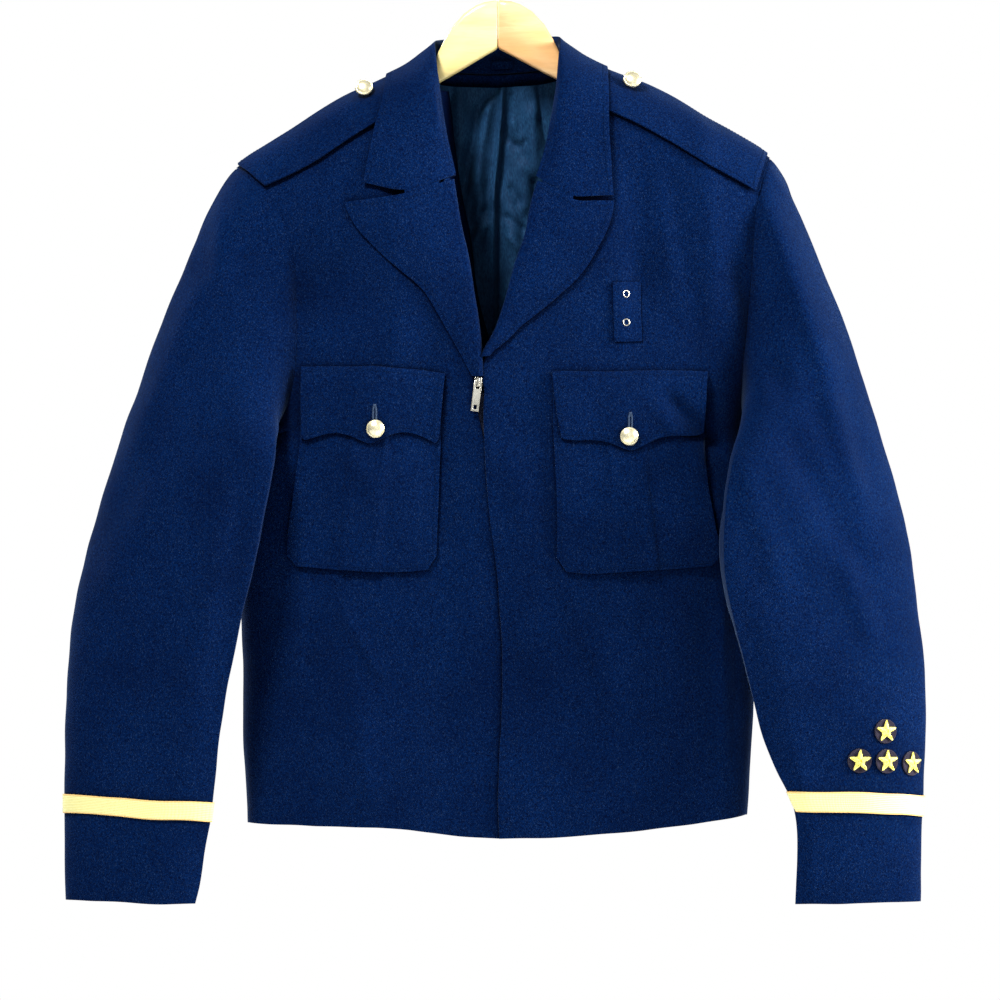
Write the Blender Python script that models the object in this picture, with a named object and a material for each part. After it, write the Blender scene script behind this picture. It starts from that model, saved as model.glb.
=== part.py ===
"""Military uniform jacket on a wooden clothes hanger, as it hangs from the hanger's hook.

+Z is up and the jacket's front faces -Y. The origin is the inside top of the hook. Sizes here are in
millimetres, and each mesh is turned into metres when it is made. "Right" and "left" are the wearer's:
side -1 is the wearer's right (-X), side +1 the wearer's left (+X).
"""

import math

import bpy
import numpy as np
from mathutils import Vector
from mathutils.bvhtree import BVHTree

MM = 0.001
CLOTH = 2.0
THIN_CLOTH = 1.6
LINING = 1.0
SEAM = 0.3
RESTING = 0.7
TILT = 0.03
SHOULDER_ROLL = 70.0
SQUARENESS = 2.8
FRONT, BACK = -1, 1
RIGHT, LEFT = -1, 1


def table(columns, *rows):
    """A short table with named columns, one tuple for each row."""
    return {name: np.array([row[k] for row in rows], float) for k, name in enumerate(columns.split())}


def read(rows, key, name, at):
    """A column at any value of the key column, on a smooth curve that never overshoots its rows."""
    x, y = rows[key], rows[name]
    if x[0] > x[-1]:
        x, y = x[::-1], y[::-1]
    at = min(max(at, x[0]), x[-1])
    step = np.diff(x)
    slope = np.diff(y) / step
    k = min(int(np.searchsorted(x, at, side="right")) - 1, len(step) - 1)

    def tangent(i):
        if i in (0, len(x) - 1):
            return slope[min(i, len(slope) - 1)]
        before, after = slope[i - 1], slope[i]
        return 0.0 if before * after <= 0 else 2 * before * after / (before + after)

    t = (at - x[k]) / step[k]
    bend = (1 + 2 * t) * (1 - t) ** 2 * y[k] + t * t * (3 - 2 * t) * y[k + 1]
    return bend + step[k] * (t * (1 - t) ** 2 * tangent(k) - t * t * (1 - t) * tangent(k + 1))


def smooth(t):
    t = min(max(t, 0.0), 1.0)
    return t * t * (3 - 2 * t)


def mix(a, b, t):
    return a + (b - a) * t


# The body: half its width and the depth of its front and back from the plane of the side seams.
BODY = table(
    "z half front back",
    (-110, 252, 42, 40),
    (-230, 251, 47, 45),
    (-330, 243, 56, 53),
    (-420, 233, 60, 56),
    (-461, 228, 60, 56),
    (-560, 227, 55, 50),
    (-680, 226, 51, 46),
    (-815, 220, 48, 44),
)

# The shoulder's ridge, where the shoulder seam runs; inside the neck it is only a guide.
RIDGE = table(
    "x z",
    (0, -100),
    (34, -112),
    (68, -127.5),
    (98, -139.5),
    (130, -152.7),
    (160, -169),
    (190, -188.5),
    (215, -204.5),
    (232, -216),
    (252, -230),
)

# The front's hem, seen from the front, and the back's, which hangs level.
HEM = table(
    "x z",
    (-222, -800),
    (-130, -802),
    (-84, -804),
    (-45, -811),
    (0, -813),
    (45, -812),
    (100, -808),
    (160, -801),
    (222, -792),
)
BACK_HEM = -797.0

# The roll line of each lapel and collar front, from the neck down to the closing.
ROLL = {
    RIGHT: table(
        "z x",
        (-131, -58),
        (-150, -54),
        (-176, -51),
        (-200, -46),
        (-228, -39),
        (-262, -33.5),
        (-318, -22),
        (-377, -13.5),
        (-412, -12.3),
    ),
    LEFT: table(
        "z x",
        (-131, 58),
        (-150, 54.5),
        (-172, 51),
        (-200, 45.5),
        (-243, 31.5),
        (-280, 22.5),
        (-307, 14),
        (-343, 4.5),
        (-374, -5),
        (-390, -10),
        (-412, -13),
    ),
}

# The edge of the left front, which laps over the right one below the lapels.
LAP = table("z x", (-400, -13.4), (-440, -13.2), (-497, -10.5), (-620, 2), (-691, 4.4), (-735, 2), (-779, -0.9), (-815, 1.2))

# Long soft folds of the fronts and the back: a line from (x0, z0) to (x1, z1), its width and its height.
FOLDS = {
    FRONT: table(
        "x0 z0 x1 z1 width height",
        (-118, -610, -122, -790, 20, 4.5),
        (-88, -600, -84, -790, 13, -3.5),
        (-40, -560, -36, -780, 18, 3.0),
        (-176, -600, -160, -780, 22, -3.0),
        (-96, -250, -128, -370, 20, 4.0),
        (-60, -330, -66, -392, 14, -3.0),
        (-148, -330, -150, -392, 16, 2.5),
        (30, -480, 40, -760, 22, 3.5),
        (60, -600, 110, -780, 16, -3.0),
        (150, -490, 196, -535, 16, 4.0),
        (150, -600, 110, -790, 24, 3.5),
        (186, -600, 190, -780, 20, -2.5),
        (150, -260, 170, -380, 22, 3.5),
        (70, -340, 60, -395, 18, 2.5),
    ),
    BACK: table(
        "x0 z0 x1 z1 width height",
        (-60, -190, 60, -196, 26, 3.0),
        (-150, -260, -158, -430, 22, 4.0),
        (150, -255, 160, -430, 22, 4.0),
        (-96, -460, -120, -780, 26, 4.0),
        (-30, -520, -36, -790, 20, -3.5),
        (34, -480, 52, -780, 26, 3.5),
        (118, -520, 130, -780, 22, -3.0),
        (176, -470, 180, -760, 20, 3.0),
        (-176, -480, -178, -760, 20, -2.5),
        (-70, -300, 0, -330, 30, -2.5),
    ),
}

# The armholes, from the shoulder (phi 0) down the front to the underarm (180) and up the back (360).
# out, ahead and up say which way the sleeve leaves the seam, and reach how far it keeps that way.
ARMHOLE = {
    RIGHT: table(
        "phi x z out ahead up reach",
        (0, 231.5, -223, 0.85, 0.00, -0.52, 90),
        (18, 216.5, -233, 0.90, 0.10, -0.45, 85),
        (42, 194, -257, 0.95, 0.20, -0.30, 75),
        (76, 177.5, -311, 0.95, 0.30, -0.22, 62),
        (112, 177.5, -404, 0.70, 0.60, -0.35, 50),
        (128, 184, -437, 0.35, 0.80, -0.50, 42),
        (144, 197, -455, 0.05, 0.85, -0.50, 34),
        (165, 223.5, -459.5, 0.55, 0.65, -0.40, 40),
        (180, 228, -461, 0.92, 0.30, -0.25, 45),
        (195, 223.5, -459, 0.96, -0.12, -0.16, 40),
        (217, 196, -444, 0.85, -0.10, 0.04, 80),
        (252, 183, -375, 0.95, -0.25, -0.18, 66),
        (288, 185, -290, 0.94, -0.22, -0.20, 76),
        (322, 202, -243, 0.90, -0.15, -0.38, 84),
        (349, 224, -224.5, 0.86, -0.04, -0.50, 90),
        (360, 231.5, -223, 0.85, 0.00, -0.52, 90),
    ),
    LEFT: table(
        "phi x z out ahead up reach",
        (0, 240, -215, 0.85, 0.00, -0.52, 80),
        (18, 233, -231, 0.85, 0.25, -0.42, 78),
        (42, 227.5, -259, 0.75, 0.55, -0.32, 72),
        (76, 224, -315, 0.60, 0.75, -0.25, 60),
        (112, 217, -390, 0.40, 0.85, -0.30, 50),
        (128, 214, -424, 0.25, 0.90, -0.35, 42),
        (144, 215, -446, 0.20, 0.88, -0.40, 34),
        (165, 225, -457.5, 0.60, 0.60, -0.35, 40),
        (180, 228, -461, 0.92, 0.30, -0.25, 45),
        (195, 223.5, -457, 0.96, -0.12, -0.16, 60),
        (217, 198, -444, 0.85, -0.45, 0.04, 80),
        (252, 187, -375, 0.95, -0.25, -0.18, 66),
        (288, 190, -290, 0.94, -0.22, -0.20, 76),
        (322, 208, -243, 0.90, -0.15, -0.38, 84),
        (349, 232, -220, 0.86, -0.04, -0.50, 84),
        (360, 240, -215, 0.85, 0.00, -0.52, 80),
    ),
}
ARMHOLE_PHIS = (0, 6, 14, 27, 42, 58, 76, 94, 112, 128, 144, 165)
BACK_PHIS = (180, 195, 217, 234, 252, 270, 288, 306, 322, 336, 349)

# The gap between the sleeve and the armhole's seam, wider where the two walls part at a sharp angle.
SEAM_GAP = table("phi gap", (0, 0.6), (14, 0.3), (120, 0.3), (150, 1.0), (195, 1.2), (230, 0.4), (320, 0.4), (345, 0.8), (360, 0.6))

# Where each seam point of the armhole goes on the hanging sleeve's flattened ring.
RING_TURN = table(
    "phi turn",
    (0, 0),
    (18, 13),
    (42, 38),
    (76, 78),
    (112, 138),
    (144, 200),
    (180, 248),
    (217, 275),
    (252, 296),
    (288, 318),
    (322, 338),
    (349, 353),
    (360, 360),
)

# The hanging sleeves: how far each ring reaches outwards and inwards, how far ahead its centre is,
# its thickness, and how far its inner edge is turned forwards.
SLEEVE = {
    RIGHT: table(
        "z outer inner ahead thick turn",
        (-485, 341, 193, 50, 64, 28),
        (-532, 354.5, 203, 50, 64, 27),
        (-568, 364.5, 210, 50, 62, 25),
        (-612, 373, 222, 51, 60, 22),
        (-649, 377.5, 228, 52, 58, 20),
        (-689, 380, 236, 52, 54, 18),
        (-739, 380, 244, 52, 50, 16),
        (-797, 380.5, 250, 52, 46, 15),
        (-868, 380.5, 264, 52, 42, 14),
    ),
    LEFT: table(
        "z outer inner ahead thick turn",
        (-485, 347, 199, 52, 66, 30),
        (-532, 358, 191, 56, 66, 29),
        (-568, 364, 192, 57, 64, 27),
        (-612, 369.5, 200, 57, 62, 24),
        (-656, 375.5, 211, 57, 60, 21),
        (-707, 377, 224, 56, 54, 18),
        (-744, 376, 237, 55, 50, 16),
        (-795, 374.5, 260, 54, 46, 15),
        (-868, 372, 259.5, 52, 42, 14),
    ),
}
HANG_STEPS = (0.05, 0.12, 0.22, 0.35, 0.50, 0.66, 0.83)
SLEEVE_ROWS = (-485, -520, -556, -592, -628, -664, -700, -736)
BRAID = {RIGHT: ((-773.5, -780.5), (-790.5, -797)), LEFT: ((-775, -769.5), (-793, -787.5))}
CUFF_ROWS = ((-832, -834), (-867, -869))

# Soft bulges and hollows of the sleeves, by side, from (x0, z0) to (x1, z1) on the face that shows.
SLEEVE_FOLDS = table(
    "side face x0 z0 x1 z1 width height",
    (RIGHT, FRONT, 226, -240, 232, -320, 12, 4.0),
    (RIGHT, FRONT, 205, -262, 214, -330, 10, -4.0),
    (RIGHT, FRONT, 352, -480, 366, -760, 18, 4.0),
    (RIGHT, FRONT, 250, -430, 330, -520, 20, -4.0),
    (RIGHT, FRONT, 236, -560, 330, -610, 20, 4.0),
    (RIGHT, FRONT, 300, -640, 312, -760, 22, -3.5),
    (LEFT, FRONT, 250, -260, 300, -430, 16, 4.5),
    (LEFT, FRONT, 218, -465, 300, -560, 18, 6.5),
    (LEFT, FRONT, 240, -540, 330, -640, 18, -4.5),
    (LEFT, FRONT, 330, -560, 340, -760, 18, 4.0),
    (LEFT, FRONT, 262, -650, 290, -750, 18, -3.5),
    (RIGHT, BACK, 262, -430, 330, -560, 24, 4.5),
    (RIGHT, BACK, 280, -600, 340, -660, 22, -4.0),
    (LEFT, BACK, 262, -440, 330, -560, 24, 4.5),
    (LEFT, BACK, 280, -610, 340, -670, 22, -4.0),
)


def ridge(x):
    return read(RIDGE, "x", "z", abs(x)) + TILT * x


def crease(rows, x, z, k):
    """Height of one fold at (x, z): a rounded ridge that fades out at both of its ends."""
    ax, az = rows["x0"][k], rows["z0"][k]
    dx, dz = rows["x1"][k] - ax, rows["z1"][k] - az
    length = math.hypot(dx, dz)
    along = ((x - ax) * dx + (z - az) * dz) / length
    across = ((x - ax) * dz - (z - az) * dx) / length
    fade = 0.3 * length
    ends = smooth(along / fade + 0.5) * smooth((length - along) / fade + 0.5)
    return rows["height"][k] * ends * math.exp(-((across / rows["width"][k]) ** 2))


def skin_depth(face, x, z):
    """How far the body's outer surface stands from the plane of the side seams."""
    half = read(BODY, "z", "half", z)
    depth = read(BODY, "z", "front" if face == FRONT else "back", z)
    side = (1 - min(abs(x) / half, 1.0) ** SQUARENESS) ** (1 / SQUARENESS)
    drop = min(max((ridge(x) - z) / SHOULDER_ROLL, 0.0), 1.0)
    top = math.sqrt(max(1 - (1 - drop) ** 2, 0.0))
    waves = sum(crease(FOLDS[face], x, z, k) for k in range(len(FOLDS[face]["x0"])))
    return depth * side * top + waves * min(1.0, 1.6 * side) * min(1.0, 1.6 * top)


def skin(face, x, z):
    return np.array((x, face * skin_depth(face, x, z), z))


def outside(point, margin):
    """The point, moved out of the body until it stands clear of its surface by the margin."""
    x, y, z = point
    face = FRONT if y < 0 else BACK
    centre = ridge(x) - SHOULDER_ROLL
    if z <= centre:
        return np.array((x, face * max(abs(y), skin_depth(face, x, z) + margin), z))
    depth = max(skin_depth(face, x, centre), 1.0)
    away = math.hypot(y, z - centre)
    inside = math.hypot(y / depth, (z - centre) / SHOULDER_ROLL)
    scale = max(1.0, 1 / inside + margin / away)
    return np.array((x, y * scale, centre + (z - centre) * scale))


def turn_of(x, z):
    half = read(BODY, "z", "half", z)
    return math.asin(min(abs(x) / half, 1.0) ** (SQUARENESS / 2))


def x_of(turn, z):
    half = read(BODY, "z", "half", z)
    return math.copysign(half * abs(math.sin(turn)) ** (2 / SQUARENESS), turn)


def armhole_xz(side, phi):
    """Seam point of an armhole, as x and z; the shoulder and underarm points lie on the seams' plane."""
    x = read(ARMHOLE[side], "phi", "x", phi)
    z = read(ARMHOLE[side], "phi", "z", phi)
    if phi % 360 == 0:
        z = ridge(side * x)
    if phi == 180:
        x = read(BODY, "z", "half", z)
    return side * x, z


def materials():
    """The finishes, by name: colour, roughness and metallic."""
    finishes = {
        "navy_wool": ((0.012, 0.018, 0.045), 0.9, 0.0),
        "teal_lining": ((0.006, 0.022, 0.055), 0.45, 0.0),
        "gold_braid": ((0.80, 0.70, 0.30), 0.55, 0.2),
        "gold_metal": ((0.86, 0.68, 0.28), 0.28, 1.0),
        "silver_metal": ((0.75, 0.76, 0.78), 0.3, 1.0),
        "zip_metal": ((0.10, 0.11, 0.13), 0.4, 0.9),
        "pale_wood": ((0.80, 0.62, 0.36), 0.5, 0.0),
        "steel_wire": ((0.70, 0.71, 0.72), 0.25, 1.0),
    }
    made = {}
    for name, (colour, roughness, metallic) in finishes.items():
        made[name] = bpy.data.materials.new(name)
        made[name].use_nodes = True
        shader = made[name].node_tree.nodes["Principled BSDF"]
        shader.inputs["Base Color"].default_value = (*colour, 1.0)
        shader.inputs["Roughness"].default_value = roughness
        shader.inputs["Metallic"].default_value = metallic
    return made


def add_mesh(name, points, faces, material, sharp=35):
    """An object from points in millimetres and faces by index, with its normals pointing out."""
    mesh = bpy.data.meshes.new(name)
    mesh.from_pydata([tuple(float(c) * MM for c in point) for point in points], [], faces)
    mesh.update()
    body = bpy.data.objects.new(name, mesh)
    bpy.context.scene.collection.objects.link(body)
    turn_out(mesh)
    mesh.materials.append(material)
    mesh.shade_smooth()
    mesh.set_sharp_from_angle(angle=math.radians(sharp))
    return body


def turn_out(mesh):
    """Turns the faces of one closed body so that its volume is positive."""
    mesh.calc_loop_triangles()
    corners = [[mesh.vertices[v].co for v in triangle.vertices] for triangle in mesh.loop_triangles]
    if sum(a.dot(b.cross(c)) for a, b, c in corners) < 0:
        mesh.flip_normals()


def grid_normals(grid, closed):
    """Unit normals of a grid of points, by its rows and columns."""
    down = np.gradient(grid, axis=0)
    if closed:
        across = np.roll(grid, -1, axis=1) - np.roll(grid, 1, axis=1)
    else:
        across = np.gradient(grid, axis=1)
    normal = np.cross(down, across)
    return normal / np.maximum(np.linalg.norm(normal, axis=2, keepdims=True), 1e-9)


def wall_faces(rows, columns, closed):
    """Faces of a wall whose outer points come first and its inner points after them."""
    inner = rows * columns
    last = columns if closed else columns - 1
    faces = []
    for i in range(rows - 1):
        for j in range(last):
            a, b = i * columns + j, i * columns + (j + 1) % columns
            faces.append((a, b, b + columns, a + columns))
            faces.append((a + inner, a + columns + inner, b + columns + inner, b + inner))
    edges = [(i, 0, i + 1, 0) for i in range(rows - 1)] + [(i + 1, last, i, last) for i in range(rows - 1)]
    edges = [] if closed else edges
    edges += [(0, (j + 1) % columns, 0, j) for j in range(last)]
    edges += [(rows - 1, j, rows - 1, (j + 1) % columns) for j in range(last)]
    for i, j, k, m in edges:
        a, b = i * columns + j, k * columns + m
        faces.append((a, b, b + inner, a + inner))
    return faces


def wall(name, outer, inner, material, closed=False):
    """A cloth wall between a grid of outer points and one of inner points."""
    rows, columns = outer.shape[:2]
    points = np.concatenate([outer.reshape(-1, 3), inner.reshape(-1, 3)])
    return add_mesh(name, points, wall_faces(rows, columns, closed), material)


def tree_of(*bodies):
    """A tree of the facets of some pieces, in millimetres, for laying other pieces on them."""
    points, faces = [], []
    for body in bodies:
        body.data.calc_loop_triangles()
        first = len(points)
        points += [vertex.co / MM for vertex in body.data.vertices]
        faces += [tuple(first + v for v in triangle.vertices) for triangle in body.data.loop_triangles]
    return BVHTree.FromPolygons(points, faces)


def frame_of(normal):
    """A unit normal and two directions across it, the first as level as it can be."""
    normal = Vector(tuple(float(c) for c in normal)).normalized()
    across = Vector((1, 0, 0)) - normal.x * normal
    across.normalize()
    return normal, across, normal.cross(across)


def rise(tree, start, toward, reach, far=400.0):
    """The least distance from start, along toward, to any surface within reach of that line."""
    toward, aside, over = frame_of(toward)
    near = []
    steps = (-reach, -0.15 * reach, 0.15 * reach, reach)
    for a in steps:
        for b in steps:
            origin = Vector(start) + a * aside + b * over - far * toward
            hit = tree.ray_cast(origin, toward)[3]
            if hit is not None:
                near.append(hit - far)
    return min(near)


def lay(name, tree, plan, relief, thick, material, gap=RESTING, reach=6.0):
    """A piece that lies on the fronts: plan is its grid of (x, z), relief how far each point is raised."""
    rows, columns = plan.shape[:2]
    outer = np.empty((rows, columns, 3))
    for i in range(rows):
        for j in range(columns):
            x, z = plan[i, j]
            y = rise(tree, (x, 0, z), (0, 1, 0), reach) - gap - thick - relief[i, j]
            outer[i, j] = (x, y, z)
    return wall(name, outer, outer + (0, thick, 0), material)


FRONT_COLUMNS = 14
LOWER_ROWS = 10
UNDERARM_ROW = -476
EDGE_TUCK = 9.5
LAP_LIFT = 2.9
CLOSING_TOP = {RIGHT: -419, LEFT: -388}


def front_edge(side, z):
    """The inner edge of a front: beside the roll line above the closing, and the closing below it."""
    rolled = read(ROLL[side], "z", "x", max(z, -412)) + side * EDGE_TUCK
    lap = read(LAP, "z", "x", z)
    if side == RIGHT:
        lap += mix(-5.0, 2.0, smooth((-436 - z) / 40))
    return mix(rolled, lap, smooth((CLOSING_TOP[side] - z) / 24))


def front_grid(side):
    """Outer points of a front: rows from the shoulder seam to the hem, columns from its edge to its side."""
    phis = ARMHOLE_PHIS + (180,)
    seam = [armhole_xz(side, phi) for phi in phis]
    top = ridge(side * 68)
    steps = [math.dist(a, b) for a, b in zip(seam, seam[1:])]
    shares = np.concatenate([[0.0], np.cumsum(steps) / sum(steps)])
    ends = [(mix(top, UNDERARM_ROW, share), point) for share, point in zip(shares, seam)]
    side_hem = read(HEM, "x", "z", side * 221)
    for k in range(1, LOWER_ROWS + 1):
        t = k / LOWER_ROWS
        z = mix(seam[-1][1], side_hem, t)
        ends.append((mix(UNDERARM_ROW, read(HEM, "x", "z", 0), t), (side * read(BODY, "z", "half", z), z)))
    rows = []
    for i, (inner_z, (outer_x, outer_z)) in enumerate(ends):
        inner_x = side * 68 if i == 0 else front_edge(side, inner_z)
        level = min(i / (len(phis) - 1), 1.0)
        hang = max(0.0, (i + 1 - len(phis)) / LOWER_ROWS) ** 2
        start = math.copysign(turn_of(inner_x, inner_z), inner_x)
        end = side * turn_of(outer_x, outer_z)
        a = inner_z - (1 - level) * ridge(inner_x)
        b = outer_z - (1 - level) * ridge(outer_x) - a
        row = []
        for j in range(FRONT_COLUMNS):
            s = j / (FRONT_COLUMNS - 1)
            guess = mix(inner_z, outer_z, s)
            x = x_of(mix(start, end, s), guess)
            z = (1 - level) * ridge(x) + a + b * s
            z += hang * (read(HEM, "x", "z", x) - mix(read(HEM, "x", "z", 0), side_hem, s))
            if j == FRONT_COLUMNS - 1:
                x, z = outer_x, outer_z
            point = skin(FRONT, x, z)
            if j == FRONT_COLUMNS - 1 and level == 1:
                point[1] = 0
            if side == LEFT:
                closing = smooth((-386 - z) / 30)
                point[1] -= LAP_LIFT * closing * (1 - smooth((x - inner_x) / 26))
            row.append(point)
        rows.append(row)
    return np.array(rows)


def seat_seams(grid, face):
    """Moves the seams that lie in the plane of the side seams half a seam's gap off it."""
    half_gap = face * SEAM / 2
    grid[..., 1] = np.where(np.abs(grid[..., 1]) < SEAM / 2, half_gap, grid[..., 1])


def inner_of(grid, thick, closed=False, sign=1.0, flat=(), evened=0):
    """Inner points of a wall; flat names the rows and columns whose normal stays in the seam's plane."""
    normal = sign * grid_normals(grid, closed)
    for _ in range(evened):
        above, below = np.vstack([normal[:1], normal[:-1]]), np.vstack([normal[1:], normal[-1:]])
        normal = normal + above + below + np.roll(normal, 1, axis=1) + np.roll(normal, -1, axis=1)
        normal /= np.linalg.norm(normal, axis=2, keepdims=True)
    for rows, columns in flat:
        normal[rows, columns, 1] = 0
    normal /= np.maximum(np.linalg.norm(normal, axis=2, keepdims=True), 1e-9)
    return grid - thick * normal


def front(side, name, material):
    grid = front_grid(side)
    seat_seams(grid, FRONT)
    below = slice(len(ARMHOLE_PHIS), None)
    sign = -1.0 if side == LEFT else 1.0
    inner = inner_of(grid, CLOTH, sign=-sign, flat=((0, slice(None)), (below, -1)))
    return wall(name, grid, inner, material)


BACK_COLUMNS = 22


# The neck's curve at the back, from its middle to the shoulder seam.
NECK = table("x z", (0, -139), (34, -138), (56, -135), (68, -127.5))


def neckline(x):
    """The back's top edge: the shoulder seams, and the neck's curve between them."""
    if abs(x) >= 68:
        return ridge(x)
    return read(NECK, "x", "z", abs(x)) + TILT * x


def back_grid():
    phis = (0,) + tuple(reversed(BACK_PHIS))
    ends = [[armhole_xz(side, phi) for phi in phis] for side in (RIGHT, LEFT)]
    for k in range(1, LOWER_ROWS + 1):
        for side, seam in zip((RIGHT, LEFT), ends):
            z = mix(-461, BACK_HEM + 0.6 * TILT * side * 220, k / LOWER_ROWS)
            seam.append((side * read(BODY, "z", "half", z), z))
    steps = [math.dist(a, b) for a, b in zip(ends[0][: len(phis)], ends[0][1 : len(phis)])]
    shares = np.concatenate([[0.0], np.cumsum(steps) / sum(steps)])
    rows = []
    for i, ((left_x, left_z), (right_x, right_z)) in enumerate(zip(*ends)):
        level = min(i / (len(phis) - 1), 1.0)
        start, end = -turn_of(left_x, left_z), turn_of(right_x, right_z)
        a = left_z - (1 - level) * neckline(left_x)
        b = right_z - (1 - level) * neckline(right_x) - a
        if i < len(phis):
            middle = mix(neckline(0), -472, shares[i])
            dip = middle - (1 - level) * neckline(0) - a - b / 2
        else:
            dip = -11 * (1 - (i + 1 - len(phis)) / LOWER_ROWS)
        row = []
        for j in range(BACK_COLUMNS):
            s = j / (BACK_COLUMNS - 1)
            x = x_of(mix(start, end, s), mix(left_z, right_z, s))
            row.append(skin(BACK, x, (1 - level) * neckline(x) + a + b * s + 4 * dip * s * (1 - s)))
        rows.append(row)
    return np.array(rows)


def back(name, material):
    grid = back_grid()
    seat_seams(grid, BACK)
    below = slice(len(BACK_PHIS), None)
    shoulders = [j for j in range(BACK_COLUMNS) if abs(grid[0, j, 0]) > 66]
    inner = inner_of(grid, CLOTH, sign=-1.0, flat=((0, shoulders), (below, [0, -1])))
    return wall(name, grid, inner, material)


def ring_point(side, z, turn):
    """A point of the hanging sleeve: turn 0 is its outer edge, 90 its front, 180 its inner edge."""
    row = {name: read(SLEEVE[side], "z", name, z) for name in ("outer", "inner", "ahead", "thick", "turn")}
    lean = math.radians(row["turn"])
    deep = row["thick"] / 2
    reach = (row["outer"] - row["inner"]) / 2
    wide = math.sqrt(reach**2 - (deep * math.sin(lean)) ** 2) / math.cos(lean)
    out = wide * math.cos(math.radians(turn))
    ahead = deep * math.sin(math.radians(turn))
    x = (row["outer"] + row["inner"]) / 2 + out * math.cos(lean) + ahead * math.sin(lean)
    y = -row["ahead"] + out * math.sin(lean) - ahead * math.cos(lean)
    return np.array((side * x, y, z))


def sleeve_grid(side):
    """Outer points of a sleeve: rows from the armhole down to the cuff, columns round it."""
    columns = []
    for phi in ARMHOLE_PHIS + BACK_PHIS:
        turn = read(RING_TURN, "phi", "turn", phi)
        x, z = armhole_xz(side, phi)
        face = FRONT if phi < 180 else BACK
        start = skin(face, x, z)
        if phi in (0, 180):
            start[1] = 0
        way = np.array([read(ARMHOLE[side], "phi", name, phi) for name in ("out", "ahead", "up")])
        way = way * (side, -1, 1) / np.linalg.norm(way)
        start = start + read(SEAM_GAP, "phi", "gap", phi) * way
        reach = read(ARMHOLE[side], "phi", "reach", phi)
        end = ring_point(side, SLEEVE_ROWS[0], turn)
        fall = ring_point(side, SLEEVE_ROWS[1], turn) - end
        fall *= np.linalg.norm(end - start) / np.linalg.norm(fall)
        column = [start]
        for t in HANG_STEPS:
            column.append(
                (1 + 2 * t) * (1 - t) ** 2 * start
                + t * (1 - t) ** 2 * reach * way
                + t * t * (3 - 2 * t) * end
                - t * t * (1 - t) * fall
            )
        column += [ring_point(side, z, turn) for z in SLEEVE_ROWS]
        for outer_z, inner_z in BRAID[side] + CUFF_ROWS:
            z = mix(outer_z, inner_z, (1 - math.cos(math.radians(turn))) / 2)
            column.append(ring_point(side, z, turn))
        columns.append(column)
    grid = np.array(columns).transpose(1, 0, 2)
    sign = 1.0 if side == RIGHT else -1.0
    normal = sign * grid_normals(grid, True)
    swell = np.zeros(grid.shape[:2])
    for i in range(2, grid.shape[0]):
        for j in range(grid.shape[1]):
            x, z = abs(grid[i, j, 0]), grid[i, j, 2]
            for k in range(len(SLEEVE_FOLDS["side"])):
                if SLEEVE_FOLDS["side"][k] == side:
                    facing = max(0.0, SLEEVE_FOLDS["face"][k] * normal[i, j, 1])
                    swell[i, j] += facing * crease(SLEEVE_FOLDS, x, z, k)
    return grid + normal * swell[..., None], sign


def sleeve(side, name, material):
    grid, sign = sleeve_grid(side)
    body = wall(name, grid, inner_of(grid, CLOTH, True, sign, evened=3), material, closed=True)
    return body, grid, sign


def braid(name, sleeve_points, sign, material):
    """The braid ring round a cuff, made from the two rows of the sleeve that it lies on."""
    normal = sign * grid_normals(sleeve_points, True)
    first = 1 + len(HANG_STEPS) + len(SLEEVE_ROWS)
    rows = slice(first, first + 2)
    base = sleeve_points[rows]
    wall(name, base + 1.6 * normal[rows], base + 0.5 * normal[rows], material, closed=True)


# A lapel's roll in section, from the front's edge round the fold: u goes outwards from the roll line
# and w forwards from the front's surface, for the side that shows and for the one under it.
LAPEL_ROLL = table(
    "u w under_u under_w",
    (7.0, -2.0, 7.0, 0.0),
    (3.4, -2.0, 3.8, 0.0),
    (1.0, -0.9, 2.6, 0.8),
    (0.0, 1.4, 2.1, 1.8),
    (1.0, 4.0, 2.6, 2.6),
    (3.6, 5.2, 4.3, 3.2),
)
LAPEL_SHARES = (0.12, 0.28, 0.47, 0.66, 0.83, 1.0)

# The lapels' rows: roll_z on the roll line, and the outer edge's x and z.
LAPEL = {
    RIGHT: table(
        "roll_z x z",
        (-232, -134.6, -252),
        (-245, -130, -263),
        (-262, -120, -280),
        (-283, -103, -298.5),
        (-307, -82, -317),
        (-326, -66, -331),
        (-346, -54, -348),
        (-372, -40, -373),
        (-406, -23, -406),
    ),
    LEFT: table(
        "roll_z x z",
        (-234, 102, -252.5),
        (-246, 101.5, -262),
        (-262, 98, -278),
        (-281, 88, -297),
        (-302, 70, -321),
        (-322, 53, -336),
        (-342, 36, -350),
        (-362, 18, -364),
        (-383, 4, -384),
    ),
}
LAPEL_ROWS = 15

# How far the seam between lapel and collar dips below a straight line, at the notch's inner corner.
GORGE = {RIGHT: (3.5, 9.6, 0.58), LEFT: (10.7, 11.4, 0.465)}


def dip_at(share, corner):
    """1 at the corner's share of the way and 0 at both ends."""
    return share / corner if share < corner else (1 - share) / (1 - corner)


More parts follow.
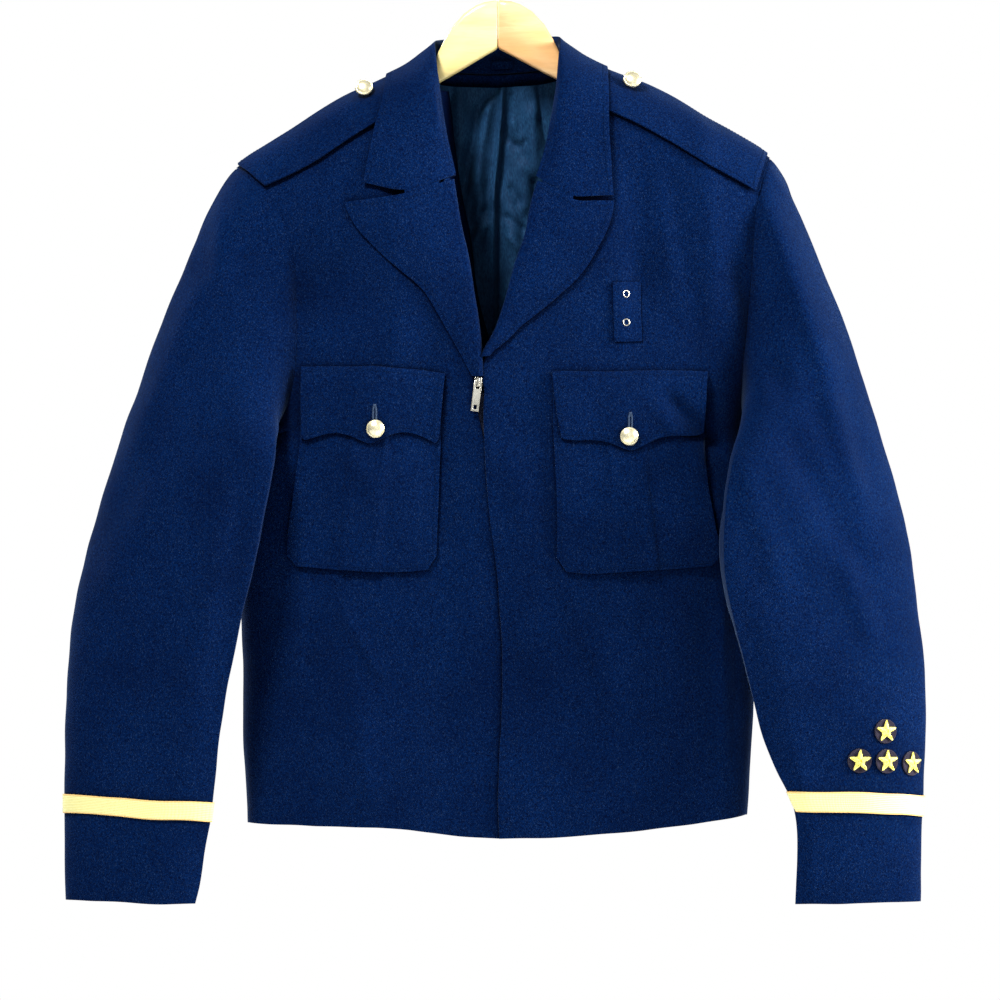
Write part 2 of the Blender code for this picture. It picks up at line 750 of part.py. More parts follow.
def lapel(side, name, tree, material):
    rows = LAPEL[side]
    count = len(rows["x"])
    index = np.arange(count, dtype=float)
    keyed = dict(rows, row=index)
    shown, under = [], []
    for i in range(LAPEL_ROWS):
        at = i * (count - 1) / (LAPEL_ROWS - 1)
        roll_z = read(keyed, "row", "roll_z", at)
        root = np.array((read(ROLL[side], "z", "x", roll_z), roll_z))
        tip = np.array((read(keyed, "row", "x", at), read(keyed, "row", "z", at)))
        if i == 0:
            tip[1] -= SEAM
            root[1] -= SEAM
        gorge = GORGE[side][0] * max(0.0, 1 - i / 5) ** 1.3
        width = np.linalg.norm(tip - root)
        ways = (tip - root) / width
        shown_row, under_row = [], []
        for u, w, under_u, under_w in zip(*(LAPEL_ROLL[c] for c in ("u", "w", "under_u", "under_w"))):
            for row, out, ahead in ((shown_row, u, w), (under_row, under_u, under_w)):
                x, z = root + ways * min(out, 0.8 * width)
                row.append((x, -skin_depth(FRONT, x, z) - ahead, z))
        start = min(3.6, 0.4 * width)
        for share in LAPEL_SHARES:
            out = mix(start, width, share)
            x, z = root + ways * out
            z -= gorge * dip_at(share, 0.47)
            base = rise(tree, (x, 0, z), (0, 1, 0), 6.0)
            loft = mix(3.2, 0.5, share) + 2.0 * math.sin(math.pi * share) * min(1, width / 80)
            shown_row.append((x, base - loft - CLOTH, z))
            under_row.append((x, base - loft, z))
        shown.append(shown_row)
        under.append(under_row)
    wall(name, np.array(shown), np.array(under), material)


# The collar, from the notch (at 0) over the shoulder to the middle of the back (at 1): where its stand
# is sewn, its fold and its outer edge, and how far it stands off the body.
COLLAR = {
    RIGHT: table(
        "at stand_x stand_y stand_z fold_x fold_y fold_z edge_x edge_y edge_z clear",
        (0.00, 46, -40, -231, 38.5, -47, -230, 118, -46, -236, 3.2),
        (0.14, 53, -38, -204, 45, -44, -204, 113, -44, -208, 3.4),
        (0.28, 59, -34, -178, 50.5, -40, -176, 106, -42, -177, 4.6),
        (0.42, 58, -25, -152, 54, -32, -142, 100, -30, -150, 5.2),
        (0.56, 65, -2, -131.5, 56, -6, -113, 97.5, -2, -139.5, 5.6),
        (0.70, 62, 20, -134.5, 51, 20, -110, 90, 30, -150, 5.6),
        (0.84, 38, 34, -137.5, 32, 37, -109, 58, 46, -158, 5.6),
        (1.00, 0, 39.5, -138.4, 0, 43.5, -109, 0, 52, -162, 5.6),
    ),
    LEFT: table(
        "at stand_x stand_y stand_z fold_x fold_y fold_z edge_x edge_y edge_z clear",
        (0.00, 46, -40, -233, 34, -47, -232, 101.4, -46, -248.5, 3.2),
        (0.14, 53, -38, -204, 45, -44, -204, 99.6, -44, -210, 3.4),
        (0.28, 59, -34, -176, 50.5, -40, -174, 97.6, -42, -176, 4.6),
        (0.42, 58, -25, -148, 54, -32, -140, 96.4, -30, -150, 5.2),
        (0.56, 65, -2, -126, 56, -6, -110, 95, -2, -134, 5.6),
        (0.70, 62, 20, -131, 51, 20, -107, 90, 30, -146, 5.6),
        (0.84, 38, 34, -135.4, 32, 37, -108, 58, 46, -156, 5.6),
        (1.00, 0, 39.5, -138.4, 0, 43.5, -109, 0, 52, -162, 5.6),
    ),
}
COLLAR_STATIONS = 12
COLLAR_FALL = (0.09, 0.25, 0.45, 0.65, 0.85, 1.0)
GORGE_FALL = {RIGHT: (0.09, 0.25, 0.42, 0.58, 0.78, 1.0), LEFT: (0.09, 0.22, 0.35, 0.465, 0.72, 1.0)}
COLLAR_STAND = ((0.0, 0.0), (0.5, 1.0), (0.88, 0.8))


def collar_station(side, at):
    """The points of the collar's section at one place: up the stand, over the fold and down the fall."""
    rows = COLLAR[side]
    stand, fold, edge = (
        np.array([read(rows, "at", f"{part}_{axis}", at) for axis in "xyz"]) for part in ("stand", "fold", "edge")
    )
    clear = read(rows, "at", "clear", at)
    front_share = 1 - smooth((at - 0.3) / 0.25)
    if front_share > 0:
        roll_x = abs(read(ROLL[side], "z", "x", fold[2]))
        fold[0] = mix(fold[0], roll_x, front_share)
    for point in (stand, fold, edge):
        point[0] *= side
    if at > 0.5:
        stand[2] = neckline(stand[0]) + 1.7
        if at > 0.6:
            stand[1] = skin_depth(BACK, stand[0], neckline(stand[0])) - 2.4
    neck = np.array((0, 0, stand[2]))
    inward = neck - stand
    inward[2] = 0
    inward /= np.linalg.norm(inward)
    points = []
    for share, bow in COLLAR_STAND:
        points.append(mix(stand, fold, share) + inward * bow * (1 - front_share))
    points.append(fold + (0, 0, 1.0))
    dip = GORGE[side][1] * (1 - smooth(at / 0.17))
    for even, sewn in zip(COLLAR_FALL, GORGE_FALL[side]):
        share = mix(sewn, even, smooth(at / 0.4))
        point = mix(fold, edge, share)
        point[2] -= dip * dip_at(share, GORGE[side][2])
        point = outside(point, clear + 2.5 * math.sin(math.pi * min(share * 1.3, 1)) * (1 - share))
        points.append(point)
    return np.array(points)


def collar(name, material):
    half = [i / (COLLAR_STATIONS - 1) for i in range(COLLAR_STATIONS)]
    stations = [collar_station(RIGHT, at) for at in half] + [collar_station(LEFT, at) for at in half[-2::-1]]
    grid = np.array(stations)
    for i in (0, -1):
        grid[i, :, 2] += SEAM
    return wall(name, grid, inner_of(grid, 2.2, sign=-1.0), material)


# The breast pockets: the side edges by z, the bottom edge by x and the two lines of the box pleat.
POCKET_TOP = -411
POCKET = {
    RIGHT: (
        table("z x0 x1", (-402, -172, -50), (-461, -172.5, -51), (-523, -182, -52.5), (-562, -185.7, -54.6)),
        table(
            "x z",
            (-187, -560),
            (-184, -568),
            (-176.9, -573.8),
            (-151.4, -575.5),
            (-69.5, -579),
            (-61, -576),
            (-56.3, -568.5),
            (-53, -560),
        ),
        (0.355, 0.625),
    ),
    LEFT: (
        table("z x0 x1", (-402, 49, 181), (-466, 49.5, 182.2), (-530, 50.6, 188.3), (-566, 51, 195.4)),
        table(
            "x z",
            (50, -561),
            (53, -570),
            (59.8, -576.4),
            (79.2, -579.5),
            (138.2, -577.3),
            (183.9, -573.8),
            (192, -569),
            (197, -560),
        ),
        (0.36, 0.62),
    ),
}
POCKET_ROWS = (0, 0.2, 0.4, 0.6, 0.78, 0.9, 0.96, 1)
PLEAT_RAISE = 2.0


def pocket(side, name, tree, material):
    sides, bottom, (pleat, end) = POCKET[side]
    shares = (0, 0.06, 0.2, pleat - 0.01, pleat + 0.01, 0.49, end - 0.01, end + 0.01, 0.8, 0.94, 1)
    plan = np.empty((len(POCKET_ROWS), len(shares), 2))
    relief = np.zeros(plan.shape[:2])
    for i, down in enumerate(POCKET_ROWS):
        for j, u in enumerate(shares):
            z = mix(POCKET_TOP, -574, down)
            x = mix(read(sides, "z", "x0", z), read(sides, "z", "x1", z), u)
            plan[i, j] = (x, mix(POCKET_TOP, read(bottom, "x", "z", x), down))
            relief[i, j] = PLEAT_RAISE if pleat < u < end else 0.5 * math.sin(math.pi * down)
    return lay(name, tree, plan, relief, THIN_CLOTH, material)


# The pocket flaps: the corners' x at the top and the bottom, the top edge and the shaped bottom edge.
FLAP = {
    RIGHT: (
        (-173.4, -46.6, -172.5, -52.8),
        table("u z", (0, -396), (0.48, -396), (0.65, -397.8), (1, -403.9)),
        table(
            "u z",
            (0, -458.5),
            (0.03, -461),
            (0.1, -458.5),
            (0.25, -454.9),
            (0.4, -459.5),
            (0.5, -466),
            (0.6, -460.5),
            (0.75, -455.5),
            (0.9, -461),
            (0.97, -465.5),
            (1, -463),
        ),
    ),
    LEFT: (
        (47.5, 184.8, 56, 181),
        table("u z", (0, -402), (1, -401.3)),
        table(
            "u z",
            (0, -459.5),
            (0.06, -462),
            (0.16, -461),
            (0.3, -461.8),
            (0.38, -465.5),
            (0.5, -471.7),
            (0.6, -465.5),
            (0.7, -460),
            (0.84, -458.5),
            (0.95, -459.4),
            (1, -456),
        ),
    ),
}
FLAP_SHARES = (0, 0.03, 0.1, 0.19, 0.28, 0.38, 0.44, 0.5, 0.56, 0.62, 0.71, 0.81, 0.9, 0.97, 1)
FLAP_ROWS = (0, 0.16, 0.45, 0.8, 1)


def flap(side, name, tree, material):
    (top0, top1, low0, low1), top, bottom = FLAP[side]
    plan = np.empty((len(FLAP_ROWS), len(FLAP_SHARES), 2))
    relief = np.empty(plan.shape[:2])
    for i, down in enumerate(FLAP_ROWS):
        for j, u in enumerate(FLAP_SHARES):
            x = mix(mix(top0, top1, u), mix(low0, low1, u), down)
            plan[i, j] = (x, mix(read(top, "u", "z", u), read(bottom, "u", "z", u), down))
            relief[i, j] = 0.8 * math.sin(math.pi * down)
    return lay(name, tree, plan, relief, THIN_CLOTH, material)


# The shoulder straps: how far down the front edge lies below the shoulder's ridge, by x.
STRAP_DROP = {
    RIGHT: table("x drop", (92, 35), (120, 38), (165, 44), (210, 40), (231, 36)),
    LEFT: table("x drop", (92, 36), (120, 38), (175, 42), (239, 40)),
}
STRAP_END = {RIGHT: (230.2, 0.68), LEFT: (237.8, 0.28)}
STRAP_COLUMNS = 11
STRAP_ACROSS = 7
STRAP_INNER = 92.0


def on_shoulder(tree, x, psi, lift):
    """A point above the shoulder at an angle psi forwards from its ridge, and the way out from there."""
    centre = np.array((x, 0, ridge(x) - SHOULDER_ROLL))
    depth = skin_depth(FRONT if psi > 0 else BACK, x, centre[2])
    out = np.array((0, -depth * math.sin(psi), SHOULDER_ROLL * math.cos(psi)))
    out /= np.linalg.norm(out)
    return centre + out * (lift - rise(tree, centre, -out, 3.0)), out


def strap(side, name, tree, material):
    last, slope = STRAP_END[side]
    outer = np.empty((STRAP_ACROSS, STRAP_COLUMNS, 3))
    inner = np.empty_like(outer)
    for i in range(STRAP_ACROSS):
        for j in range(STRAP_COLUMNS):
            x = mix(STRAP_INNER, last, j / (STRAP_COLUMNS - 1))
            front_psi = math.acos(1 - read(STRAP_DROP[side], "x", "drop", x) / SHOULDER_ROLL)
            psi = math.radians(-10) if i == 0 else front_psi * (i - 1) / (STRAP_ACROSS - 2)
            drop = SHOULDER_ROLL * (1 - math.cos(psi))
            x -= slope * drop * j / (STRAP_COLUMNS - 1)
            inner[i, j], out = on_shoulder(tree, side * x, psi, 0.7)
            outer[i, j] = inner[i, j] + 1.7 * out
    return wall(name, outer, inner, material)


BUTTON = table("r h", (7.6, 0.0), (8.0, 0.8), (8.0, 1.8), (7.0, 2.8), (4.8, 4.3), (2.4, 5.2))
BUTTON_HEIGHT = 5.6


def turned(name, centre, normal, profile, tip, material, segments=18):
    """A solid of revolution on a normal, from its base to its tip."""
    normal, across, along = frame_of(normal)
    points = [Vector(centre)]
    for r, h in ((float(a), float(b)) for a, b in profile):
        for k in range(segments):
            angle = 2 * math.pi * k / segments
            points.append(points[0] + r * math.cos(angle) * across + r * math.sin(angle) * along + h * normal)
    points.append(points[0] + tip * normal)
    rings = len(profile)
    faces = []
    for k in range(segments):
        following = (k + 1) % segments
        faces.append((0, 1 + following, 1 + k))
        for ring in range(rings - 1):
            a, b = 1 + ring * segments + k, 1 + ring * segments + following
            faces.append((a, b, b + segments, a + segments))
        last = 1 + (rings - 1) * segments
        faces.append((last + k, last + following, len(points) - 1))
    return add_mesh(name, points, faces, material)


def seat(tree, point, normal, reach, gap=0.3):
    """The point on a normal's line where a flat base of that reach just clears every surface."""
    normal = np.array(normal) / np.linalg.norm(normal)
    return np.array(point) + normal * (gap - rise(tree, point, -normal, reach))


def slope_normal(tree, x, z, step):
    """The way out of the front at (x, z), from the surface's heights a step to each side."""
    left, right, low, high = (
        rise(tree, (x + a, 0, z + b), (0, 1, 0), 1.0) for a, b in ((-step, 0), (step, 0), (0, -step), (0, step))
    )
    normal = np.array(((right - left) / (2 * step), -1, (high - low) / (2 * step)))
    return normal / np.linalg.norm(normal)


def button(name, tree, point, normal, material):
    profile = list(zip(BUTTON["r"], BUTTON["h"]))
    turned(name, seat(tree, point, normal, 7.6), normal, profile, BUTTON_HEIGHT, material)


def ring(name, tree, x, z, material):
    """An eyelet: a low ring round a hole."""
    normal = slope_normal(tree, x, z, 4)
    base = seat(tree, (x, rise(tree, (x, 0, z), (0, 1, 0), 1.0), z), normal, 3.4)
    normal, across, along = frame_of(normal)
    section = ((1.7, 0.0), (3.4, 0.0), (3.1, 0.8), (2.5, 1.1), (1.9, 0.8))
    segments = 14
    points, faces = [], []
    for k in range(segments):
        angle = 2 * math.pi * k / segments
        way = math.cos(angle) * across + math.sin(angle) * along
        points += [Vector(base) + r * way + h * normal for r, h in section]
    count = len(section)
    for k in range(segments):
        for m in range(count):
            a, b = k * count + m, k * count + (m + 1) % count
            c, d = ((k + 1) % segments) * count + (m + 1) % count, ((k + 1) % segments) * count + m
            faces.append((a, b, c, d))
    add_mesh(name, points, faces, material)


STARS = {
    "star_top": (339.2, -717.6),
    "star_inner": (316.8, -743.4),
    "star_middle": (340.6, -743.9),
    "star_outer": (362.5, -746.2),
}
PATCH_RADIUS, STAR_RADIUS, STAR_WAIST = 10.6, 10.0, 4.1


def star(name, tree, x, z, material):
    """An embroidered star on its round patch, laid on the sleeve."""
    far = 400.0
    hit, normal, _, _ = tree.ray_cast(Vector((x, -far, z)), Vector((0, 1, 0)))
    normal = normal if normal.y < 0 else -normal
    normal, across, along = frame_of(normal)

    def lifted(r, angle, lift):
        at = hit + r * math.sin(angle) * across + r * math.cos(angle) * along
        return at + normal * (lift - rise(tree, at, -normal, 3.0))

    along = -along if along.z < 0 else along
    circle = [(PATCH_RADIUS, math.pi * k / 10) for k in range(20)]
    outline = [(STAR_WAIST if k % 2 else STAR_RADIUS, math.pi * k / 5) for k in range(10)]
    points = [lifted(r, a, 0.3) for r, a in circle]
    points += [lifted(r, a, 1.1) for r, a in circle]
    points += [lifted(0.97 * r, a, 1.1) for r, a in outline]
    points += [lifted(0.9 * r, a, 2.1) for r, a in outline]
    points += [lifted(0, 0, 0.3), lifted(0, 0, 2.4)]
    faces = []
    for k in range(20):
        m = (k + 1) % 20
        faces.append((60, m, k))
        faces.append((k, m, 20 + m, 20 + k))
    for k in range(10):
        m = (k + 1) % 10
        a, b, c = 20 + 2 * k, 20 + 2 * k + 1, 20 + (2 * k + 2) % 20
        faces += [(a, b, 40 + k), (b, 40 + m, 40 + k), (b, c, 40 + m)]
        faces.append((40 + k, 40 + m, 50 + m, 50 + k))
        faces.append((50 + k, 50 + m, 61))
    add_mesh(name, points, faces, material, sharp=25)


ZIP_TOP, ZIP_END = -421.0, -806.0
ZIP_OFFSET = 6.5
ZIP_SECTION = ((-12, 2.5), (3 - 6, 2.5), (3 - 6, 0.9), (3, 0.9), (3, 2.5), (12, 2.5), (12, 3.4), (-12, 3.4))
ZIP_ROWS = 14


def zip_closure(name, material):
    """The tape behind the fronts, with the closed chain standing in front of it."""
    points, faces = [], []
    count = len(ZIP_SECTION)
    for i in range(ZIP_ROWS):
        z = mix(ZIP_TOP, ZIP_END, i / (ZIP_ROWS - 1))
        middle = read(LAP, "z", "x", z) + ZIP_OFFSET
        plain = -skin_depth(FRONT, middle, z)
        points += [(middle + a, plain + b, z) for a, b in ZIP_SECTION]
    for i in range(ZIP_ROWS - 1):
        for m in range(count):
            a, b = i * count + m, i * count + (m + 1) % count
            faces.append((a, b, b + count, a + count))
    last = (ZIP_ROWS - 1) * count
    faces.append(tuple(range(count - 1, -1, -1)))
    faces.append(tuple(range(last, last + count)))
    add_mesh(name, points, faces, material)


def block(name, centre, size, lean, material=None):
    """A box in millimetres, leant in the plane of the front round its own centre."""
    bpy.ops.object.select_all(action="DESELECT")
    bpy.ops.mesh.primitive_cube_add(size=1)
    body = bpy.context.object
    body.name = name
    turn = math.radians(lean)
    for vertex in body.data.vertices:
        x, y, z = (c * s for c, s in zip(vertex.co, size))
        x, z = x * math.cos(turn) + z * math.sin(turn), z * math.cos(turn) - x * math.sin(turn)
        vertex.co = Vector(((centre[0] + x) * MM, (centre[1] + y) * MM, (centre[2] + z) * MM))
    body.location = (0, 0, 0)
    if material:
        body.data.materials.append(material)
    return body


def shaped(body, tool, operation):
    """Adds a helper to the body, or cuts it out, and removes the helper."""
    step = body.modifiers.new("step", "BOOLEAN")
    step.operation = operation
    step.object = tool
    step.solver = "EXACT"
    bpy.ops.object.select_all(action="DESELECT")
    bpy.context.view_layer.objects.active = body
    body.select_set(True)
    bpy.ops.object.modifier_apply(modifier=step.name)
    bpy.data.objects.remove(tool, do_unlink=True)


SLIDER_X, SLIDER_Z = -17.3, -411.3
TAB_LEAN = 7.2
PIVOT_AHEAD = 1.3


def along_lean(x, z, down, out=0.0):
    """The point that lies down the tab's own length and out along its hinge from (x, z)."""
    turn = math.radians(TAB_LEAN)
    return x - down * math.sin(turn) + out * math.cos(turn), z - down * math.cos(turn) - out * math.sin(turn)


def zip_pull(material):
    """The slider with the bridge that holds the pull tab, and the tab hanging from it."""
    plain = -skin_depth(FRONT, SLIDER_X, SLIDER_Z)
    face = plain - 3.4
    body = block("zip_slider", (SLIDER_X, (face + plain + 1.9) / 2, SLIDER_Z), (6.6, plain + 1.9 - face, 8.6), 0, material)
    top = (SLIDER_X, SLIDER_Z + 0.6)
    x, z = along_lean(*top, 0.4)
    bridge = block("bridge", (x, face - 1.5, z), (2.2, 3.6, 7.0), TAB_LEAN)
    window = block("window", (x, face - 1.2, z), (5.0, 2.4, 4.8), TAB_LEAN)
    shaped(bridge, window, "DIFFERENCE")
    shaped(body, bridge, "UNION")
    pivot = face - PIVOT_AHEAD
    x, z = along_lean(*top, 12.9)
    tab = block("pull_tab", (x, pivot, z), (7.0, 1.2, 27.0), TAB_LEAN, material)
    x, z = along_lean(*top, 3.6)
    shaped(tab, block("window", (x, pivot, z), (3.4, 3.0, 6.0), TAB_LEAN), "DIFFERENCE")
    x, z = along_lean(*top, 22.6)
    shaped(tab, block("hole", (x, pivot, z), (3.0, 3.0, 4.0), TAB_LEAN), "DIFFERENCE")


# The hanger: its upper and lower outline by the distance from the middle.
HANGER = table(
    "x top low",
    (0.15, -73, -116),
    (12, -74.6, -122.5),
    (19, -77, -126.5),
    (30, -84, -132.8),
    (41, -96, -139),
    (48, -108, -142.7),
    (53, -118, -145.5),
    (58, -130, -148.2),
    (70, -139, -155),
    (85, -142.3, -163.5),
    (110, -151.1, -177),
    (145, -166.4, -195.4),
    (180, -187.8, -212),
    (205, -203.8, -224),
    (218, -213.6, -229.5),
)
HANGER_THICK = 7.0


def hanger_arm(side, name, material):
    points, faces = [], []
    chamfer = 2.4
    for x, top, low in zip(HANGER["x"], HANGER["top"], HANGER["low"]):
        x = side * x
        top, low = top + TILT * x, low + TILT * x
        edge = HANGER_THICK - chamfer
        for y, z in (
            (-edge, top),
            (edge, top),
            (HANGER_THICK, top - chamfer),
            (HANGER_THICK, low + chamfer),
            (edge, low),
            (-edge, low),
            (-HANGER_THICK, low + chamfer),
            (-HANGER_THICK, top - chamfer),
        ):
            points.append((x, y, z))
    count = len(HANGER["x"])
    for i in range(count - 1):
        for m in range(8):
            a, b = i * 8 + m, i * 8 + (m + 1) % 8
            faces.append((a, b, b + 8, a + 8))
    faces.append(tuple(range(7, -1, -1)))
    faces.append(tuple(range((count - 1) * 8, count * 8)))
    add_mesh(name, points, faces, material)


HOOK_WIRE = 2.0
HOOK_RADIUS = 24.0
HOOK_CENTRE = -22.0 - HOOK_WIRE + 2.0


def hook(name, material):
    """The plain wire hook: a short stem, a bend to one side, and the arc that goes over a rail."""
    start = math.radians(-75)
    arc = [start + math.radians(285) * k / 22 for k in range(23)]
    ring_points = [(HOOK_RADIUS * math.cos(a), HOOK_CENTRE + HOOK_RADIUS * math.sin(a)) for a in arc]
    (x, z), foot = ring_points[0], (0.0, -61.0)
    way = (-math.sin(start), math.cos(start))
    path = [(0.0, -72.6), foot]
    for k in range(1, 6):
        t = k / 6
        bend = [
            (1 - t) ** 3 * a + 3 * (1 - t) ** 2 * t * b + 3 * (1 - t) * t * t * c + t**3 * d
            for a, b, c, d in zip(foot, (0.0, -52.0), (x - 7 * way[0], z - 7 * way[1]), (x, z))
        ]
        path.append(tuple(bend))
    path += ring_points
    curve = bpy.data.curves.new(name, "CURVE")
    curve.dimensions = "3D"
    spline = curve.splines.new("POLY")
    spline.points.add(len(path) - 1)
    for point, (a, b) in zip(spline.points, path):
        point.co = (a * MM, 0, b * MM, 1)
    curve.bevel_depth = HOOK_WIRE * MM
    curve.bevel_resolution = 2
    curve.use_fill_caps = True
    curve.materials.append(material)
    wire = bpy.data.objects.new(name, curve)
    bpy.context.scene.collection.objects.link(wire)


LINING_ROWS = 10
LINING_COLUMNS = 11


def back_lining(name, tree, material):
    """The back's lining, only where the neck's opening shows it."""
    outer = np.empty((LINING_ROWS, LINING_COLUMNS, 3))
    for i in range(LINING_ROWS):
        for j in range(LINING_COLUMNS):
            u = 2 * j / (LINING_COLUMNS - 1) - 1
            down = i / (LINING_ROWS - 1)
            x = u * mix(62, 112, smooth(2.2 * down))
            z = mix(neckline(u * 62) - 15, -505, down)
            wave = 0.7 * math.sin(9.4 * u + 2 * down)
            outer[i, j] = (x, rise(tree, (x, 0, z), (0, 1, 0), 4.0, far=0.0) - 1.2 + wave, z)
    wall(name, outer, outer - (0, LINING, 0), material)


def hanger_loop(name, tree, material):
    """The jacket's own hanging loop, sewn across the inside of the collar's stand."""
    outer = np.empty((2, 6, 3))
    for i, z in enumerate((-126.0, -133.0)):
        for j in range(6):
            t = j / 5
            x = mix(-7, 12, t)
            y = rise(tree, (x, 0, z), (0, 1, 0), 1.5, far=0.0) - 1.3 - 1.8 * math.sin(math.pi * t)
            outer[i, j] = (x, y, z + TILT * x)
    wall(name, outer, outer + (0, 1, 0), material)


def build():
    for item in list(bpy.data.objects):
        bpy.data.objects.remove(item, do_unlink=True)
    finish = materials()
    wool, gold, braided = finish["navy_wool"], finish["gold_metal"], finish["gold_braid"]
    hands = ((RIGHT, "right"), (LEFT, "left"))
    fronts = {side: front(side, f"front_{hand}", wool) for side, hand in hands}
    back_panel = back("back", wool)
    both = tree_of(*fronts.values())
    for side, hand in hands:
        sleeve_body, sleeve_points, sign = sleeve(side, f"sleeve_{hand}", wool)
        braid(f"cuff_braid_{hand}", sleeve_points, sign, braided)
        lapel(side, f"lapel_{hand}", both, wool)
        breast = pocket(side, f"pocket_{hand}", tree_of(fronts[side]), wool)
        cover = tree_of(flap(side, f"flap_{hand}", tree_of(fronts[side], breast), wool))
        x, z = {RIGHT: (-107.6, -452), LEFT: (116, -458.4)}[side]
        point = (x, rise(cover, (x, 0, z), (0, 1, 0), 1.0), z)
        button(f"button_flap_{hand}", cover, point, slope_normal(cover, x, z, 6), gold)
        shoulder = tree_of(strap(side, f"epaulette_{hand}", tree_of(fronts[side], back_panel), wool))
        point, normal = on_shoulder(shoulder, side * 118.5, math.radians(26), 0)
        button(f"button_epaulette_{hand}", shoulder, point, normal + (0, -0.35, 0), gold)
        if side == LEFT:
            for star_name, (x, z) in STARS.items():
                star(star_name, tree_of(sleeve_body), x, z, braided)
    hanger_loop("hanger_loop", tree_of(collar("collar", wool)), wool)
    back_lining("lining_back", tree_of(back_panel), finish["teal_lining"])
    shares = np.linspace(0, 1, 5)
    tab = np.array([[(mix(101, 125, u), mix(-323, -375, v)) for u in shares] for v in np.linspace(0, 1, 6)])
    tab_tree = tree_of(lay("badge_tab", tree_of(fronts[LEFT]), tab, np.zeros(tab.shape[:2]), 1.0, wool, gap=0.4, reach=3.0))
    for name, x, z in (("eyelet_upper", 112.1, -333.3), ("eyelet_lower", 111.8, -358.5)):
        ring(name, tab_tree, x, z, finish["silver_metal"])
    zip_closure("zip", finish["zip_metal"])
    zip_pull(finish["silver_metal"])
    for side, hand in hands:
        hanger_arm(side, f"hanger_{hand}", finish["pale_wood"])
    hook("hanger_hook", finish["steel_wire"])


build()
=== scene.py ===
"""The looks of a military uniform jacket on its wooden clothes hanger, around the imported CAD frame.

The file follows the jacket as it is put together: the room, the hanger, the cloth panels, what is sewn on
them, then the buttons, braid, stars and zip. "Right" and "left" are the wearer's, as in the CAD names.
"""

import math

import bmesh
import bpy
import numpy as np
from mathutils import Matrix, Vector, noise
from mathutils.bvhtree import BVHTree


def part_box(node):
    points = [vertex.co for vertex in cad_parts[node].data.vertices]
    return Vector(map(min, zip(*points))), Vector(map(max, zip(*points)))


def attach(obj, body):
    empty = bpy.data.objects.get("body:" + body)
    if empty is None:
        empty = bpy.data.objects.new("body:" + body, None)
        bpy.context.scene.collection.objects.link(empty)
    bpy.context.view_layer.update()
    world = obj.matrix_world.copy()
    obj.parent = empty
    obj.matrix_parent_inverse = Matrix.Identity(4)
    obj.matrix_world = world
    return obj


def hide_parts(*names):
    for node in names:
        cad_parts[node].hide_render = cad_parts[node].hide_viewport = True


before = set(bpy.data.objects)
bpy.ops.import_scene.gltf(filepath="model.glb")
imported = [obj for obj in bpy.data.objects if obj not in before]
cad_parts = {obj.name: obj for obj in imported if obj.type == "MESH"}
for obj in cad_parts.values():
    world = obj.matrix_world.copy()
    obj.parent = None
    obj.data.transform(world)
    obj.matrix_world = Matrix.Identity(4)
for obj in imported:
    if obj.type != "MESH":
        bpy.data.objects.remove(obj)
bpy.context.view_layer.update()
BODY, TAB = "jacket_and_hanger", "pull_tab"
MM = 0.001


# The room. A bright white studio with a pale floor below the hem, and the camera straight in front of the
# jacket, far enough away that its outline is nearly flat, as in the photograph.

FRAME_CENTRE = (1.76, -514.8)
FRAME_SPAN = 880.0
CAMERA_AWAY = 9.0
FRONT_PLANE = -0.04
FLOOR_HEIGHT = -1.18
ROOM_LIGHT = 0.08
LAMPS = (
    ("name", "spot", "aim", "power", "size", "tint"),
    ("lamp_key", (-0.75, -1.25, 1.25), (0.0, 0, -0.45), 68, 0.4, (1.0, 0.98, 0.96)),
    ("lamp_right", (2.3, -0.42, 0.1), (0.30, 0, -0.5), 125, 0.7, (1.0, 0.98, 0.96)),
    ("lamp_front", (0.2, -3.6, 0.0), (0, 0, -0.5), 10, 1.6, (0.97, 0.98, 1.0)),
    ("lamp_behind", (-2.0, 1.5, 1.1), (0, 0, -0.5), 70, 0.8, (1.0, 1.0, 1.0)),
)


def add(finish, kind, inputs=None, **settings):
    """A node in a material's tree; an input is a value or the socket that feeds it."""
    node = finish.node_tree.nodes.new(kind)
    for name, value in settings.items():
        setattr(node, name, value)
    for name, value in (inputs or {}).items():
        if isinstance(value, bpy.types.NodeSocket):
            finish.node_tree.links.new(value, node.inputs[name])
        else:
            node.inputs[name].default_value = value
    return node


def mixed(finish, share, first, second):
    """Two colours mixed by a share, each a colour or the socket that gives it."""
    inputs = {0: share}
    for entry, value in ((6, first), (7, second)):
        inputs[entry] = value if isinstance(value, bpy.types.NodeSocket) else (*value, 1.0)
    return add(finish, "ShaderNodeMix", inputs, data_type="RGBA").outputs[2]


def ramped(finish, value, low, high, to_low=0.0, to_high=1.0):
    """A value stretched from one range to another and held there."""
    inputs = {"Value": value, "From Min": low, "From Max": high, "To Min": to_low, "To Max": to_high}
    return add(finish, "ShaderNodeMapRange", inputs).outputs["Result"]


def new_finish(name, roughness, metallic=0.0, **sockets):
    """A material and its shader; other sockets are named with _ for a space."""
    finish = bpy.data.materials.new(name)
    finish.use_nodes = True
    shader = finish.node_tree.nodes["Principled BSDF"]
    shader.inputs["Roughness"].default_value = roughness
    shader.inputs["Metallic"].default_value = metallic
    for socket, value in sockets.items():
        shader.inputs[socket.replace("_", " ")].default_value = value
    return finish, shader


def set_colour(finish, shader, colour):
    finish.node_tree.links.new(colour, shader.inputs["Base Color"])


def set_relief(finish, shader, height, strength, depth):
    relief = add(finish, "ShaderNodeBump", {"Strength": strength, "Distance": depth, "Height": height})
    finish.node_tree.links.new(relief.outputs["Normal"], shader.inputs["Normal"])


def place(finish):
    return add(finish, "ShaderNodeTexCoord").outputs["Object"]


